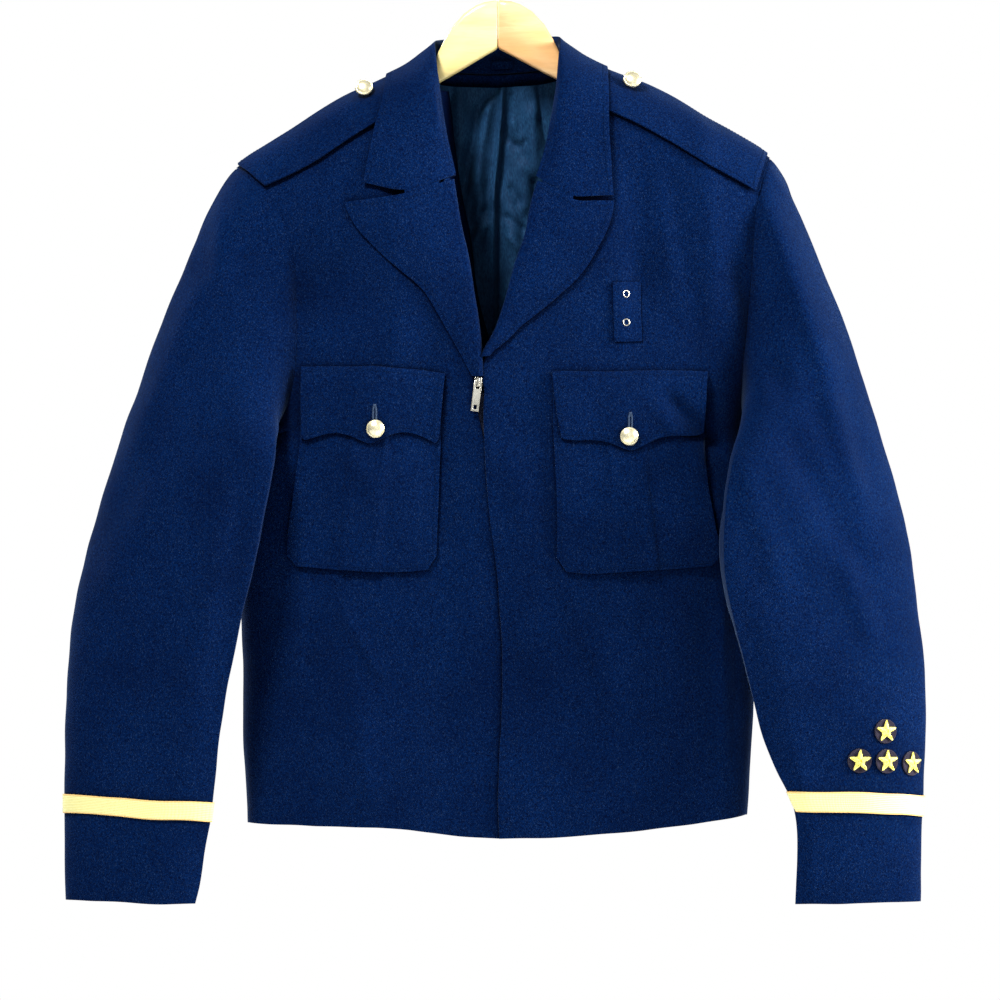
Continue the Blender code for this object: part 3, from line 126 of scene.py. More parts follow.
def stretched(finish, at, scale, turn=(0, 0, 0)):
    """A place with its sides scaled and turned, for a pattern that runs one way."""
    inputs = {"Vector": at, "Rotation": turn, "Scale": scale}
    return add(finish, "ShaderNodeMapping", inputs).outputs["Vector"]


def mottle(finish, at, scale, detail, **inputs):
    """A noise pattern's height at a place."""
    inputs = {"Vector": at, "Scale": scale, "Detail": detail, **inputs}
    return add(finish, "ShaderNodeTexNoise", inputs).outputs["Fac"]


def only(piece):
    """Deselects everything, then makes one piece the selected and active one."""
    bpy.ops.object.select_all(action="DESELECT")
    piece.select_set(True)
    bpy.context.view_layer.objects.active = piece


bpy.ops.object.select_all(action="DESELECT")
camera_spot = (FRAME_CENTRE[0] * MM, FRONT_PLANE - CAMERA_AWAY, FRAME_CENTRE[1] * MM)
bpy.ops.object.camera_add(location=camera_spot, rotation=(math.radians(90), 0, 0))
camera = bpy.context.object
camera.name = "camera"
camera.data.sensor_width = 36
camera.data.lens = 36 * CAMERA_AWAY / (FRAME_SPAN * MM)
bpy.context.scene.camera = camera

bpy.ops.mesh.primitive_grid_add(x_subdivisions=24, y_subdivisions=24, size=5, location=(0, 0, FLOOR_HEIGHT))
floor = bpy.context.object
floor.name = "floor"
floor_finish, floor_shader = new_finish("pale_floor", 0.7)
speckle = mottle(floor_finish, place(floor_finish), 3.0, 6.0)
floor_colour = mixed(floor_finish, speckle, (0.80, 0.80, 0.79), (0.86, 0.86, 0.85))
set_colour(floor_finish, floor_shader, floor_colour)
floor.data.materials.append(floor_finish)

world = bpy.data.worlds.new("studio")
world.use_nodes = True
bpy.context.scene.world = world
sky = world.node_tree.nodes["Background"]
sky.inputs["Color"].default_value = (1, 1, 1, 1)
path = world.node_tree.nodes.new("ShaderNodeLightPath")
level = world.node_tree.nodes.new("ShaderNodeMapRange")
level.inputs["To Min"].default_value = ROOM_LIGHT
level.inputs["To Max"].default_value = 1.0
world.node_tree.links.new(path.outputs["Is Camera Ray"], level.inputs["Value"])
world.node_tree.links.new(level.outputs["Result"], sky.inputs["Strength"])
bpy.context.scene.view_settings.view_transform = "Standard"

for name, spot, aim, power, size, tint in LAMPS[1:]:
    bpy.ops.object.light_add(type="AREA", location=spot)
    lamp = bpy.context.object
    lamp.name = name
    lamp.rotation_euler = (Vector(aim) - Vector(spot)).to_track_quat("-Z", "Y").to_euler()
    lamp.data.energy = power
    lamp.data.size = size
    lamp.data.color = tint


# The hanger. Two arms cut from pale varnished wood and joined in the middle, each with its own run of the
# grain and a chamfer along its edges, and a plain hook of bright steel wire screwed into them.

WOOD = (
    ("arm", "pale", "dark", "lean"),
    ("hanger_right", (0.84, 0.79, 0.38), (0.82, 0.66, 0.26), -0.5),
    ("hanger_left", (0.88, 0.60, 0.30), (0.80, 0.45, 0.18), 0.55),
)
MERGE_WITHIN = 0.00002


def softened(node, width, segments):
    """A copy of a CAD node with its facets joined up and its edges rounded over."""
    piece = bpy.data.objects.new(node + "_shown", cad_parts[node].data.copy())
    bpy.context.scene.collection.objects.link(piece)
    piece.data.materials.clear()
    only(piece)
    bpy.ops.object.mode_set(mode="EDIT")
    bpy.ops.mesh.select_all(action="SELECT")
    bpy.ops.mesh.remove_doubles(threshold=MERGE_WITHIN)
    bpy.ops.mesh.customdata_custom_splitnormals_clear()
    bpy.ops.mesh.dissolve_limited(angle_limit=math.radians(1))
    bpy.ops.object.mode_set(mode="OBJECT")
    bevel = piece.modifiers.new("rounded", "BEVEL")
    bevel.width = width
    bevel.segments = segments
    bevel.angle_limit = math.radians(30)
    bpy.ops.object.modifier_apply(modifier="rounded")
    bpy.ops.object.shade_smooth_by_angle(angle=math.radians(40))
    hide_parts(node)
    return piece


def darker(colour, share):
    return tuple(share * level for level in colour)


for arm_name, pale, dark, lean in WOOD[1:]:
    wood, wood_shader = new_finish(arm_name + "_wood", 0.34, Coat_Weight=0.35, Coat_Roughness=0.18)
    grain_at = stretched(wood, place(wood), (3.0, 24.0, 26.0), turn=(0, lean, 0))
    blotch = ramped(wood, mottle(wood, grain_at, 1.2, 3.0, Distortion=0.8), 0.36, 0.66)
    rings = mottle(wood, grain_at, 4.5, 8.0, Roughness=0.62)
    pores = mottle(wood, stretched(wood, grain_at, (6.0, 30.0, 30.0)), 3.0, 2.0)
    colour = mixed(wood, blotch, pale, dark)
    colour = mixed(wood, ramped(wood, rings, 0.44, 0.66, 0.0, 0.75), colour, darker(dark, 0.86))
    colour = mixed(wood, ramped(wood, pores, 0.60, 0.72, 0.0, 0.35), colour, darker(dark, 0.6))
    set_colour(wood, wood_shader, colour)
    set_relief(wood, wood_shader, rings, 0.12, 0.0004)
    arm = softened(arm_name, 0.0018, segments=1)
    arm.data.materials.append(wood)
    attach(arm, BODY)

steel, steel_shader = new_finish("steel_wire", 0.2, 1.0)
smear = mottle(steel, place(steel), 60.0, 4.0)
set_colour(steel, steel_shader, mixed(steel, smear, (0.78, 0.79, 0.80), (0.60, 0.61, 0.62)))
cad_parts["hanger_hook"].data.materials.clear()
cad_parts["hanger_hook"].data.materials.append(steel)


# The wool. All the navy pieces are cut from one heavy serge: a fine diagonal rib under a short nap, nearly
# black in the folds and greyer where light grazes the fibres. Its colour also carries painted shade, darker
# wherever other cloth lies close: in creases, at seams, beside edges and under flaps. Each panel hangs in
# soft folds that the folds table and a slow wander in the cloth add to the CAD shape, the same for all that
# lies together.

SHEEN = {"Sheen_Weight": 0.14, "Sheen_Roughness": 0.34, "Sheen_Tint": (0.34, 0.52, 0.85, 1.0)}


def wool_finish(name, deep, lit, nap):
    """Serge, from its hollows' colour and its lit threads' to the pale tips of its nap, with painted shade
    where other cloth lies close.
    """
    wool, shader = new_finish(name, 0.95, Specular_IOR_Level=0.02, **SHEEN)
    at = place(wool)
    fuzz = add(wool, "ShaderNodeTexNoise", {"Vector": at, "Scale": 620.0, "Detail": 5.0, "Roughness": 0.7})
    fibres = mottle(wool, stretched(wool, at, (1.0, 1.0, 0.35)), 1900.0, 2.0)
    wear = mottle(wool, at, 14.0, 4.0, Roughness=0.55)
    weave = {"Vector": at, "Scale": 430.0, "Distortion": 1.2, "Detail": 2.0, "Detail Scale": 1.5}
    rib = add(wool, "ShaderNodeTexWave", weave, bands_direction="DIAGONAL")
    # Painted shade: an occlusion node, reaching 22 mm, finds where other cloth lies close.
    painted_crease_shade = add(wool, "ShaderNodeAmbientOcclusion", {"Distance": 0.022}, samples=4).outputs["AO"]
    colour = mixed(wool, ramped(wool, fuzz.outputs["Fac"], 0.34, 0.66), deep, lit)
    colour = mixed(wool, ramped(wool, fibres, 0.58, 0.72, 0.0, 0.6), colour, nap)
    colour = mixed(wool, ramped(wool, rib.outputs["Fac"], 0.0, 0.35, 0.22, 0.0), colour, deep)
    colour = mixed(wool, ramped(wool, wear, 0.30, 0.62, 0.35, 0.0), colour, deep)
    # Painted shade: the colour darkens towards near-black navy in creases, at seams, beside edges and under
    # flaps, where the occlusion is strong.
    colour = mixed(wool, ramped(wool, painted_crease_shade, 0.45, 0.92, 0.85, 0.0), colour, (0.0, 0.0, 0.0025))
    set_colour(wool, shader, colour)
    set_relief(wool, shader, mixed(wool, 0.4, fuzz.outputs["Color"], rib.outputs["Color"]), 0.55, 0.0006)
    return wool


navy_wool = wool_finish("navy_wool", (0.0001, 0.0018, 0.016), (0.0008, 0.0150, 0.0820), (0.026, 0.064, 0.165))

FOLDS = (
    ("face", "x0", "z0", "x1", "z1", "width", "height"),
    (-1, -86, -205, -72, -392, 40, 8.0),
    (-1, -176, -330, -104, -330, 40, -11.0),
    (-1, 116, -338, 182, -342, 40, -8.0),
    (-1, -52, -400, -44, -720, 22, -7.5),
    (-1, 122, -212, 128, -332, 20, -6.5),
    (-1, 60, -556, 215, -552, 54, 9.0),
    (-1, -180, -735, -60, -745, 46, 7.5),
    (-1, -140, -462, -108, -505, 6, 2.1),
    (-1, -138, -610, -120, -640, 6, 3.9),
    (-1, -122, -636, -104, -668, 6, 4.2),
    (-1, -130, -655, -112, -780, 12, 3.6),
    (-1, 6, -470, 62, -640, 13, 4.5),
    (-1, -6, -560, 46, -700, 12, -3.9),
    (-1, 62, -640, 92, -700, 9, 3.6),
    (-1, 148, -424, 194, -468, 6, -4.8),
    (-1, 140, -436, 182, -486, 8, 4.2),
    (-1, 196, -600, 212, -760, 11, 3.9),
    (-1, 112, -600, 120, -700, 14, 3.0),
    (-1, -170, -560, -176, -690, 10, 3.3),
    (-1, -112, -210, -132, -330, 13, -3.6),
    (-1, 176, -150, 190, -300, 12, 3.9),
    (-1, 152, -225, 166, -330, 10, -3.3),
    (-1, -170, -215, -160, -330, 10, 3.6),
    (-1, -238, -215, -268, -262, 9, 3.9),
    (-1, -352, -360, -376, -470, 9, -3.3),
    (-1, -250, -255, -245, -330, 8, 3.9),
    (-1, -262, -330, -330, -470, 15, 3.3),
    (-1, -300, -500, -344, -600, 14, 3.6),
    (-1, -250, -580, -300, -640, 12, -3.0),
    (-1, -224, -500, -250, -700, 12, -3.6),
    (-1, 240, -130, 268, -240, 10, 4.5),
    (-1, 236, -250, 300, -430, 12, 6.0),
    (-1, 290, -420, 322, -520, 11, 6.3),
    (-1, 208, -300, 250, -420, 12, -4.8),
    (-1, 250, -455, 318, -575, 13, -5.1),
    (-1, 300, -560, 330, -640, 11, 4.8),
    (-1, 212, -480, 250, -600, 12, 3.6),
    (-1, 262, -740, 270, -860, 12, 3.3),
    (1, -120, -240, -30, -262, 16, 4.2),
    (1, 30, -262, 120, -240, 16, 4.2),
    (1, -80, -420, -64, -620, 13, 4.5),
    (1, 70, -430, 96, -660, 13, 4.8),
    (1, 0, -520, 10, -760, 12, -3.9),
    (1, -140, -560, -150, -780, 12, 3.9),
    (1, 150, -300, 164, -420, 12, 3.9),
    (1, 270, -420, 330, -470, 14, 4.8),
    (1, 262, -480, 326, -540, 14, -4.5),
    (1, -270, -430, -334, -480, 14, 4.8),
    (1, -262, -500, -320, -560, 14, -4.5),
)


def fold_height(folds, points, blunt=0.35):
    """How far the folds of a table lift each point forwards or back; points and folds are in millimetres."""
    x, y, z = points.T
    middle = -58 * np.clip((np.abs(x) - 185) / 40, 0, 1) * np.clip((-z - 200) / 600, 0, 1)
    lift = np.zeros(len(points))
    for face, x0, z0, x1, z1, width, height in folds[1:]:
        length = math.hypot(x1 - x0, z1 - z0)
        along = ((x - x0) * (x1 - x0) + (z - z0) * (z1 - z0)) / length
        across = ((x - x0) * (z1 - z0) - (z - z0) * (x1 - x0)) / length
        ends = np.clip(along / (blunt * length) + 0.5, 0, 1)
        ends = ends * np.clip((length - along) / (blunt * length) + 0.5, 0, 1)
        facing = np.clip(face * (y - middle) / 18, 0, 1)
        lift += face * height * ends**2 * (3 - 2 * ends) * facing * np.exp(-((across / width) ** 2))
    return lift


SLIDER_SPOT = np.array((-0.017, -0.06, -0.411))
SLIDER_REACH = 0.06
noise.seed_set(11)


def drape(points):
    """Points in metres, moved as the hanging cloth is: by its folds, and by a slow wander.

    The cloth round the zip's slider stays as the CAD has it, so that the pull tab's swing stays clear.
    """
    still = np.clip(np.linalg.norm(points - SLIDER_SPOT, axis=1) / SLIDER_REACH - 0.3, 0, 1)
    moved = points.copy()
    moved[:, 1] += fold_height(FOLDS, points / MM) * still * MM
    for k, point in enumerate(points):
        at = Vector(point)
        way = 2.2 * noise.noise_vector(at / 0.085) + 0.9 * noise.noise_vector(at / 0.03 + Vector((7, 3, 5)))
        moved[k] += np.array(way) * still[k] * MM
    return moved


def crease_rims(piece, angle):
    """Keeps the cut edges of a cloth wall square while the rest of it is smoothed."""
    form = bmesh.new()
    form.from_mesh(piece.data)
    crease = form.edges.layers.float.get("crease_edge") or form.edges.layers.float.new("crease_edge")
    for edge in form.edges:
        if len(edge.link_faces) == 2 and edge.calc_face_angle() > math.radians(angle):
            edge[crease] = 1.0
    form.to_mesh(piece.data)
    form.free()


def joined_up(node, finish):
    """A cloth piece begun as a copy of its CAD node, with whole four-sided faces again."""
    piece = bpy.data.objects.new(node + "_cloth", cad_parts[node].data.copy())
    bpy.context.scene.collection.objects.link(piece)
    piece.data.materials.clear()
    piece.data.materials.append(finish)
    only(piece)
    bpy.ops.object.mode_set(mode="EDIT")
    bpy.ops.mesh.select_all(action="SELECT")
    bpy.ops.mesh.remove_doubles(threshold=MERGE_WITHIN)
    bpy.ops.mesh.customdata_custom_splitnormals_clear()
    bpy.ops.mesh.tris_convert_to_quads(face_threshold=math.radians(75), shape_threshold=math.radians(120))
    bpy.ops.object.mode_set(mode="OBJECT")
    return piece


def subdivided(piece, levels, rim=50):
    crease_rims(piece, rim)
    only(piece)
    smooth = piece.modifiers.new("smoothed", "SUBSURF")
    smooth.levels = smooth.render_levels = levels
    bpy.ops.object.modifier_apply(modifier="smoothed")


TIP_PULLS = (
    ("x", "z", "dx", "dz", "reach"),
    (-6, -378, -6, -10, 13),
    (3, -384, -13, -4, 11),
    (2, -393, -12, 0, 12),
    (-5, -405, -6, 0, 11),
)


def pulled(piece, pulls):
    """Draws a piece's near parts across and down, as the crossing fronts draw the foot of a lapel."""
    for vertex in piece.data.vertices:
        x, z = vertex.co.x / MM, vertex.co.z / MM
        shares = []
        for px, pz, dx, dz, reach in pulls[1:]:
            shares.append((math.exp(-((x - px) ** 2 + (z - pz) ** 2) / reach**2), dx, dz))
        whole = max(1.0, sum(share for share, _, _ in shares))
        vertex.co.x += sum(share * dx for share, dx, _ in shares) / whole * MM
        vertex.co.z += sum(share * dz for share, _, dz in shares) / whole * MM


def draped(piece):
    points = np.empty(len(piece.data.vertices) * 3)
    piece.data.vertices.foreach_get("co", points)
    piece.data.vertices.foreach_set("co", drape(points.reshape(-1, 3)).ravel())
    piece.data.update()


def rounded_rims(piece, width):
    only(piece)
    bevel = piece.modifiers.new("rounded", "BEVEL")
    bevel.width = width
    bevel.segments = 2
    bevel.angle_limit = math.radians(60)
    bevel.use_clamp_overlap = True
    bpy.ops.object.modifier_apply(modifier="rounded")
    bpy.ops.object.shade_smooth_by_angle(angle=math.radians(60))


def cloth(node, levels=2, rim=50, edge=0.5, pulls=None):
    """A finished wool piece that stands for a CAD node."""
    piece = joined_up(node, navy_wool)
    subdivided(piece, levels, rim)
    if pulls:
        pulled(piece, pulls)
    draped(piece)
    rounded_rims(piece, edge * MM)
    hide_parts(node)
    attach(piece, BODY)


# The body. The back in one piece and two fronts, sewn to it at the shoulders and sides; they hang from the
# hanger's arms, and the left front laps over the right one below the lapels.

cloth("back")
cloth("front_right", levels=3)
cloth("front_left", levels=3, pulls=TIP_PULLS)


# The sleeves. Each is a shaped tube, sewn round the armhole and hanging free from the shoulder, with its
# cuff open at the bottom.

cloth("sleeve_right", levels=3)
cloth("sleeve_left", levels=3)


# The collar and lapels. Two layers of the same wool, pressed into their roll and notched where they meet;
# they lie on the fronts and stand round the neck.

cloth("collar")
cloth("lapel_right")
cloth("lapel_left", pulls=TIP_PULLS)


# The breast pockets. Patch pockets with a box pleat down the middle, each under a flap with a shaped lower
# edge; the shoulder straps and the badge tab are made of the same folded wool.

for hand in ("right", "left"):
    cloth("pocket_" + hand, rim=22, edge=0.4)
    cloth("flap_" + hand, edge=0.4)
    cloth("epaulette_" + hand, edge=0.4)
cloth("badge_tab", edge=0.25)
cloth("hanger_loop", edge=0.25)


# The seams and the topstitching. The seams are pressed flat, so that each shows as a fine groove between two
# low ridges; the stitches are navy thread, a little finer and glossier than the wool, close to the edges.


def rim_lines(node, out):
    """The edges round the outer face of a cloth wall, as rows of points, each with its way into the cloth."""
    form = bmesh.new()
    form.from_mesh(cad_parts[node].data)
    bmesh.ops.remove_doubles(form, verts=form.verts, dist=MERGE_WITHIN)
    steps, inward = {}, {}
    for edge in form.edges:
        if len(edge.link_faces) != 2 or edge.calc_face_angle() < math.radians(50):
            continue
        outer = [face for face in edge.link_faces if face.normal.dot(Vector(out)) > 0.3]
        if len(outer) != 1:
            continue
        first, last = edge.verts
        run = (last.co - first.co).normalized()
        into = outer[0].calc_center_median() - first.co
        into = (into - into.dot(run) * run).normalized()
        for a, b in ((first, last), (last, first)):
            steps.setdefault(a.index, []).append(b.index)
            inward.setdefault(a.index, []).append(into)
    form.verts.ensure_lookup_table()
    lines = []
    while steps:
        at = next((v for v, ways in steps.items() if len(ways) == 1), next(iter(steps)))
        line = [at]
        while steps.get(at):
            after = steps[at].pop()
            steps[after].remove(at)
            if not steps[at]:
                del steps[at]
            at = after
            line.append(at)
        if at in steps and not steps[at]:
            del steps[at]
        ways = [sum(inward[v], Vector()).normalized() for v in line]
        spots = np.array([tuple(form.verts[v].co) for v in line])
        lines.append((spots, np.array([tuple(way) for way in ways])))
    form.free()
    return lines


def evenly(points, ways, pitch):
    """A row of points respaced to an even pitch, with their ways in."""
    lengths = np.concatenate(([0], np.cumsum(np.linalg.norm(np.diff(points, axis=0), axis=1))))
    if lengths[-1] < 2 * pitch:
        return np.zeros((0, 3)), np.zeros((0, 3))
    at = np.arange(pitch / 2, lengths[-1], pitch)
    spaced = []
    for rows in (points, ways):
        spaced.append(np.stack([np.interp(at, lengths, column) for column in rows.T], axis=1))
    return spaced


def surface_of(*pieces):
    """A tree of the finished faces of some pieces, for setting other pieces on them."""
    points, faces = [], []
    for piece in pieces:
        first = len(points)
        points += [vertex.co.copy() for vertex in piece.data.vertices]
        faces += [[first + v for v in face.vertices] for face in piece.data.polygons]
    return BVHTree.FromPolygons(points, faces)


def one_mesh(name, points, faces, finish):
    mesh = bpy.data.meshes.new(name)
    mesh.from_pydata(points, [], faces)
    mesh.materials.append(finish)
    piece = bpy.data.objects.new(name, mesh)
    bpy.context.scene.collection.objects.link(piece)
    only(piece)
    bpy.ops.object.shade_smooth()
    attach(piece, BODY)
    return piece


thread, thread_shader = new_finish("navy_thread", 0.8, Specular_IOR_Level=0.03)
twist = mottle(thread, place(thread), 2500.0, 2.0)
set_colour(thread, thread_shader, mixed(thread, twist, (0.0004, 0.0040, 0.026), (0.0030, 0.0200, 0.0850)))
set_relief(thread, thread_shader, twist, 0.3, 0.0002)

STITCH_LENGTH, STITCH_PITCH, THREAD_RADIUS = 2.2, 3.1, 0.27


def thread_dash(points, faces, centre, run, normal, length=STITCH_LENGTH, radius=THREAD_RADIUS):
    """Adds one stitch to a mesh's points and faces: a short six-sided thread with pointed ends."""
    side = run.cross(normal).normalized()
    first = len(points)
    points.append(tuple(centre - run * length / 2 * MM))
    for along in (-0.36, 0.36):
        for k in range(6):
            turn = math.tau * k / 6
            ring = (side * math.cos(turn) + normal * math.sin(turn)) * radius * MM
            points.append(tuple(centre + run * along * length * MM + ring))
    points.append(tuple(centre + run * length / 2 * MM))
    for k in range(6):
        after = (k + 1) % 6
        faces.append((first, first + 1 + after, first + 1 + k))
        faces.append((first + 1 + k, first + 1 + after, first + 7 + after, first + 7 + k))
        faces.append((first + 7 + k, first + 7 + after, first + 13))


def stitched(node, inset, skip=None, out=(0, -1, 0)):
    """A row of stitches round a cloth piece, inside its edge.

    skip leaves out the edges that face that way.
    """
    surface = surface_of(bpy.data.objects[node + "_cloth"])
    lines = rim_lines(node, out)
    rim = np.concatenate([points for points, _ in lines])
    points, faces = [], []
    for line, ways in lines:
        spots, ways = evenly(line, ways, STITCH_PITCH * MM)
        if not len(spots):
            continue
        spots = spots + ways * inset * MM
        near = np.array([np.linalg.norm(rim - spot, axis=1).min() for spot in spots])
        kept = near > 0.88 * inset * MM
        if skip:
            kept &= -ways @ np.array(skip) < 0.6
        moved = drape(spots)
        for k in range(len(spots) - 1):
            if not (kept[k] and kept[k + 1]):
                continue
            spot, normal, _, _ = surface.find_nearest(Vector(moved[k]))
            normal = normal if normal.dot(Vector(out)) > 0 else -normal
            run = Vector(moved[k + 1] - moved[k])
            run = (run - run.dot(normal) * normal).normalized()
            thread_dash(points, faces, spot + normal * 0.08 * MM, run, normal)
    one_mesh(node + "_stitches", points, faces, thread)


SEAM_SECTION = (
    ("across", "up"),
    (-1.9, -0.45),
    (-1.3, 0.10),
    (-0.55, 0.22),
    (0.0, -0.08),
    (0.55, 0.22),
    (1.3, 0.10),
    (1.9, -0.45),
)
SEAM_WIDTH = len(SEAM_SECTION) - 1
MEET_WITHIN = 1.2


def seamed(name, node, other, out):
    """A pressed seam between two pieces, where their edges meet."""
    surface = surface_of(*(bpy.data.objects[part + "_cloth"] for part in (node, other)))
    beside = surface_of(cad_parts[other])
    points, faces = [], []
    for line, ways in rim_lines(node, out):
        spots, ways = evenly(line, ways, 3.0 * MM)
        if len(spots) < 3:
            continue
        gaps = np.array([beside.find_nearest(Vector(spot))[3] for spot in spots])
        kept = gaps < MEET_WITHIN * MM
        moved = drape(spots - ways * 0.15 * MM)
        last_row = None
        for k in range(1, len(spots) - 1):
            if not kept[k]:
                last_row = None
                continue
            spot, normal, _, _ = surface.find_nearest(Vector(moved[k] + 3 * MM * np.array(out)))
            spot = Vector(moved[k]) + normal * (spot - Vector(moved[k])).dot(normal)
            run = Vector(moved[k + 1] - moved[k - 1]).normalized()
            side = run.cross(normal).normalized()
            row = len(points)
            points += [tuple(spot + side * across * MM + normal * up * MM) for across, up in SEAM_SECTION[1:]]
            if last_row is not None:
                for c in range(SEAM_WIDTH - 1):
                    faces.append((last_row + c, last_row + c + 1, row + c + 1, row + c))
            last_row = row
    if faces:
        one_mesh(name, points, faces, navy_wool)


FRONT, BEHIND = (0, -1, 0), (0, 1, 0)
GORGE_ROWS = (
    ("hand", "x0", "z0", "x1", "z1"),
    ("right", -82, -245.5, -42, -237.0),
    ("left", 66, -252, 39, -233),
)
GORGE_STEPS, GORGE_COLUMNS = 16, 9
GORGE_SUNK = (0.5, 0.12, 0.02, 0.02, 0.37, 0.02, 0.02, 0.12, 0.5)
for hand, x0, z0, x1, z1 in GORGE_ROWS[1:]:
    parts = ("collar", "lapel_" + hand, "front_" + hand)
    surface = surface_of(*(bpy.data.objects[part + "_cloth"] for part in parts))
    points, faces = [], []
    for k in range(GORGE_STEPS + 1):
        x, z = x0 + (x1 - x0) * k / GORGE_STEPS, z0 + (z1 - z0) * k / GORGE_STEPS
        depths = []
        for across in (-6.5, -5.0, 5.0, 6.5):
            at = Vector((x * MM, -0.3, (z + across) * MM))
            hit = surface.ray_cast(at, Vector(BEHIND))[0]
            at.y = -0.06
            depths.append((hit or surface.find_nearest(at)[0]).y)
        low, high = (depths[0] + depths[1]) / 2, (depths[2] + depths[3]) / 2
        for c, sunk in enumerate(GORGE_SUNK):
            share = c / (GORGE_COLUMNS - 1)
            depth = low + (high - low) * share * share * (3 - 2 * share) + sunk * MM
            points.append((x * MM, depth, (z - 5.5 + 11 * share) * MM))
        if k:
            row = GORGE_COLUMNS * k
            for c in range(row, row + GORGE_COLUMNS - 1):
                faces.append((c - GORGE_COLUMNS, c - GORGE_COLUMNS + 1, c + 1, c))
    one_mesh("gorge_seam_" + hand, points, faces, navy_wool)
for hand in ("right", "left"):
    seamed("armhole_seam_" + hand, "front_" + hand, "sleeve_" + hand, FRONT)
    seamed("armhole_back_seam_" + hand, "back", "sleeve_" + hand, BEHIND)
    seamed("side_seam_" + hand, "front_" + hand, "back", FRONT)
    stitched("pocket_" + hand, 3.5, skip=(0, 0, 1))
    stitched("flap_" + hand, 4.4)
    stitched("epaulette_" + hand, 4.2, out=(0, -0.6, 0.8))
stitched("lapel_right", 4.6, skip=(0.9, 0, 0.5))
stitched("lapel_left", 4.6, skip=(-0.9, 0, 0.5))
stitched("collar", 4.6, skip=(0, 0, -1))


# The back's lining. A thin dark teal satin, joined down the middle of the back and hanging in many long
# creases where the neck's opening shows it.

satin, satin_shader = new_finish("teal_lining", 0.72, Specular_IOR_Level=0.10, Sheen_Weight=0.12)
satin_shader.inputs["Sheen Roughness"].default_value = 0.35
satin_shader.inputs["Sheen Tint"].default_value = (0.3, 0.6, 0.85, 1.0)
satin_at = place(satin)
threads = mottle(satin, stretched(satin, satin_at, (1.0, 1.0, 0.3)), 900.0, 3.0)
cloud = ramped(satin, mottle(satin, satin_at, 45.0, 4.0), 0.35, 0.60, 0.5, 0.0)
satin_colour = mixed(satin, ramped(satin, threads, 0.35, 0.65), (0.004, 0.024, 0.070), (0.011, 0.056, 0.135))
set_colour(satin, satin_shader, mixed(satin, cloud, satin_colour, (0.003, 0.018, 0.056)))
set_relief(satin, satin_shader, threads, 0.25, 0.0003)

LINING_CREASES = (
    ("face", "x0", "z0", "x1", "z1", "width", "height"),
    (-1, 4.5, -146, 3, -180, 3.0, 5.0),
    (-1, 3, -178, -4, -250, 3.2, 6.0),
    (-1, -4, -250, -5, -420, 3.4, 6.5),
    (-1, 9, -150, 2, -240, 4.0, -5.0),
    (-1, 2, -240, 1, -420, 4.0, -5.5),
    (-1, 4, -150, -17, -170, 3.4, -5.0),
    (-1, -17, -168, -26, -215, 4.0, -6.0),
    (-1, -26, -212, -34, -270, 4.5, -6.0),
    (-1, -8, -164, -20, -240, 5.0, 5.0),
    (-1, -38, -146, -46, -180, 4.0, -4.0),
    (-1, -46, -178, -40, -260, 5.0, -5.0),
    (-1, -34, -160, -36, -230, 6.0, 4.0),
    (-1, -16, -220, -22, -330, 6.0, 5.0),
    (-1, -22, -245, -28, -330, 4.5, -5.0),
    (-1, 4, -188, 16, -202, 3.0, -3.5),
    (-1, 12, -180, 22, -200, 3.0, 3.5),
    (-1, 16, -202, 26, -196, 3.2, -3.0),
    (-1, 36, -148, 40, -180, 3.5, -5.0),
    (-1, 40, -178, 48, -210, 4.5, -6.5),
    (-1, 48, -205, 44, -245, 4.5, -6.0),
    (-1, 28, -170, 34, -225, 7.0, 5.0),
    (-1, 32, -230, 37, -262, 3.5, -4.5),
    (-1, 22, -215, 24, -260, 5.0, 3.5),
    (-1, 10, -236, 20, -252, 3.5, -3.0),
    (-1, 6, -262, 24, -276, 3.5, -4.0),
    (-1, -10, -255, -24, -275, 3.5, -4.0),
    (-1, -8, -268, -26, -290, 3.5, 4.0),
    (-1, 8, -280, 26, -300, 3.5, 4.0),
    (-1, 14, -260, 18, -340, 6.0, 4.0),
    (-1, -12, -300, -16, -400, 6.0, 4.0),
)
lining = joined_up("lining_back", satin)
subdivided(lining, 4)
draped(lining)
lining_points = np.array([tuple(vertex.co) for vertex in lining.data.vertices]) / MM
flat_points = lining_points * (1, 0, 1) + (0, -20, 0)
creases = -fold_height(LINING_CREASES, flat_points, 0.25)
for k, point in enumerate(lining_points):
    creases[k] += 1.3 * noise.noise(Vector((point[0] / 9, 0.0, point[2] / 34)))
    creases[k] += 0.7 * noise.noise(Vector((point[0] / 5, 3.0, point[2] / 12)))
lining_points[:, 1] -= np.clip((-140 - lining_points[:, 2]) / 20, 0.0, 1) * creases.clip(-5, 9) + 6.5
lining_points[:, 2] += 5.5 * np.clip((lining_points[:, 2] + 190) / 40, 0, 1)
lining.data.vertices.foreach_set("co", (lining_points * MM).ravel())
lining.data.update()
bpy.ops.object.shade_smooth_by_angle(angle=math.radians(60))
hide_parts("lining_back")
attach(lining, BODY)
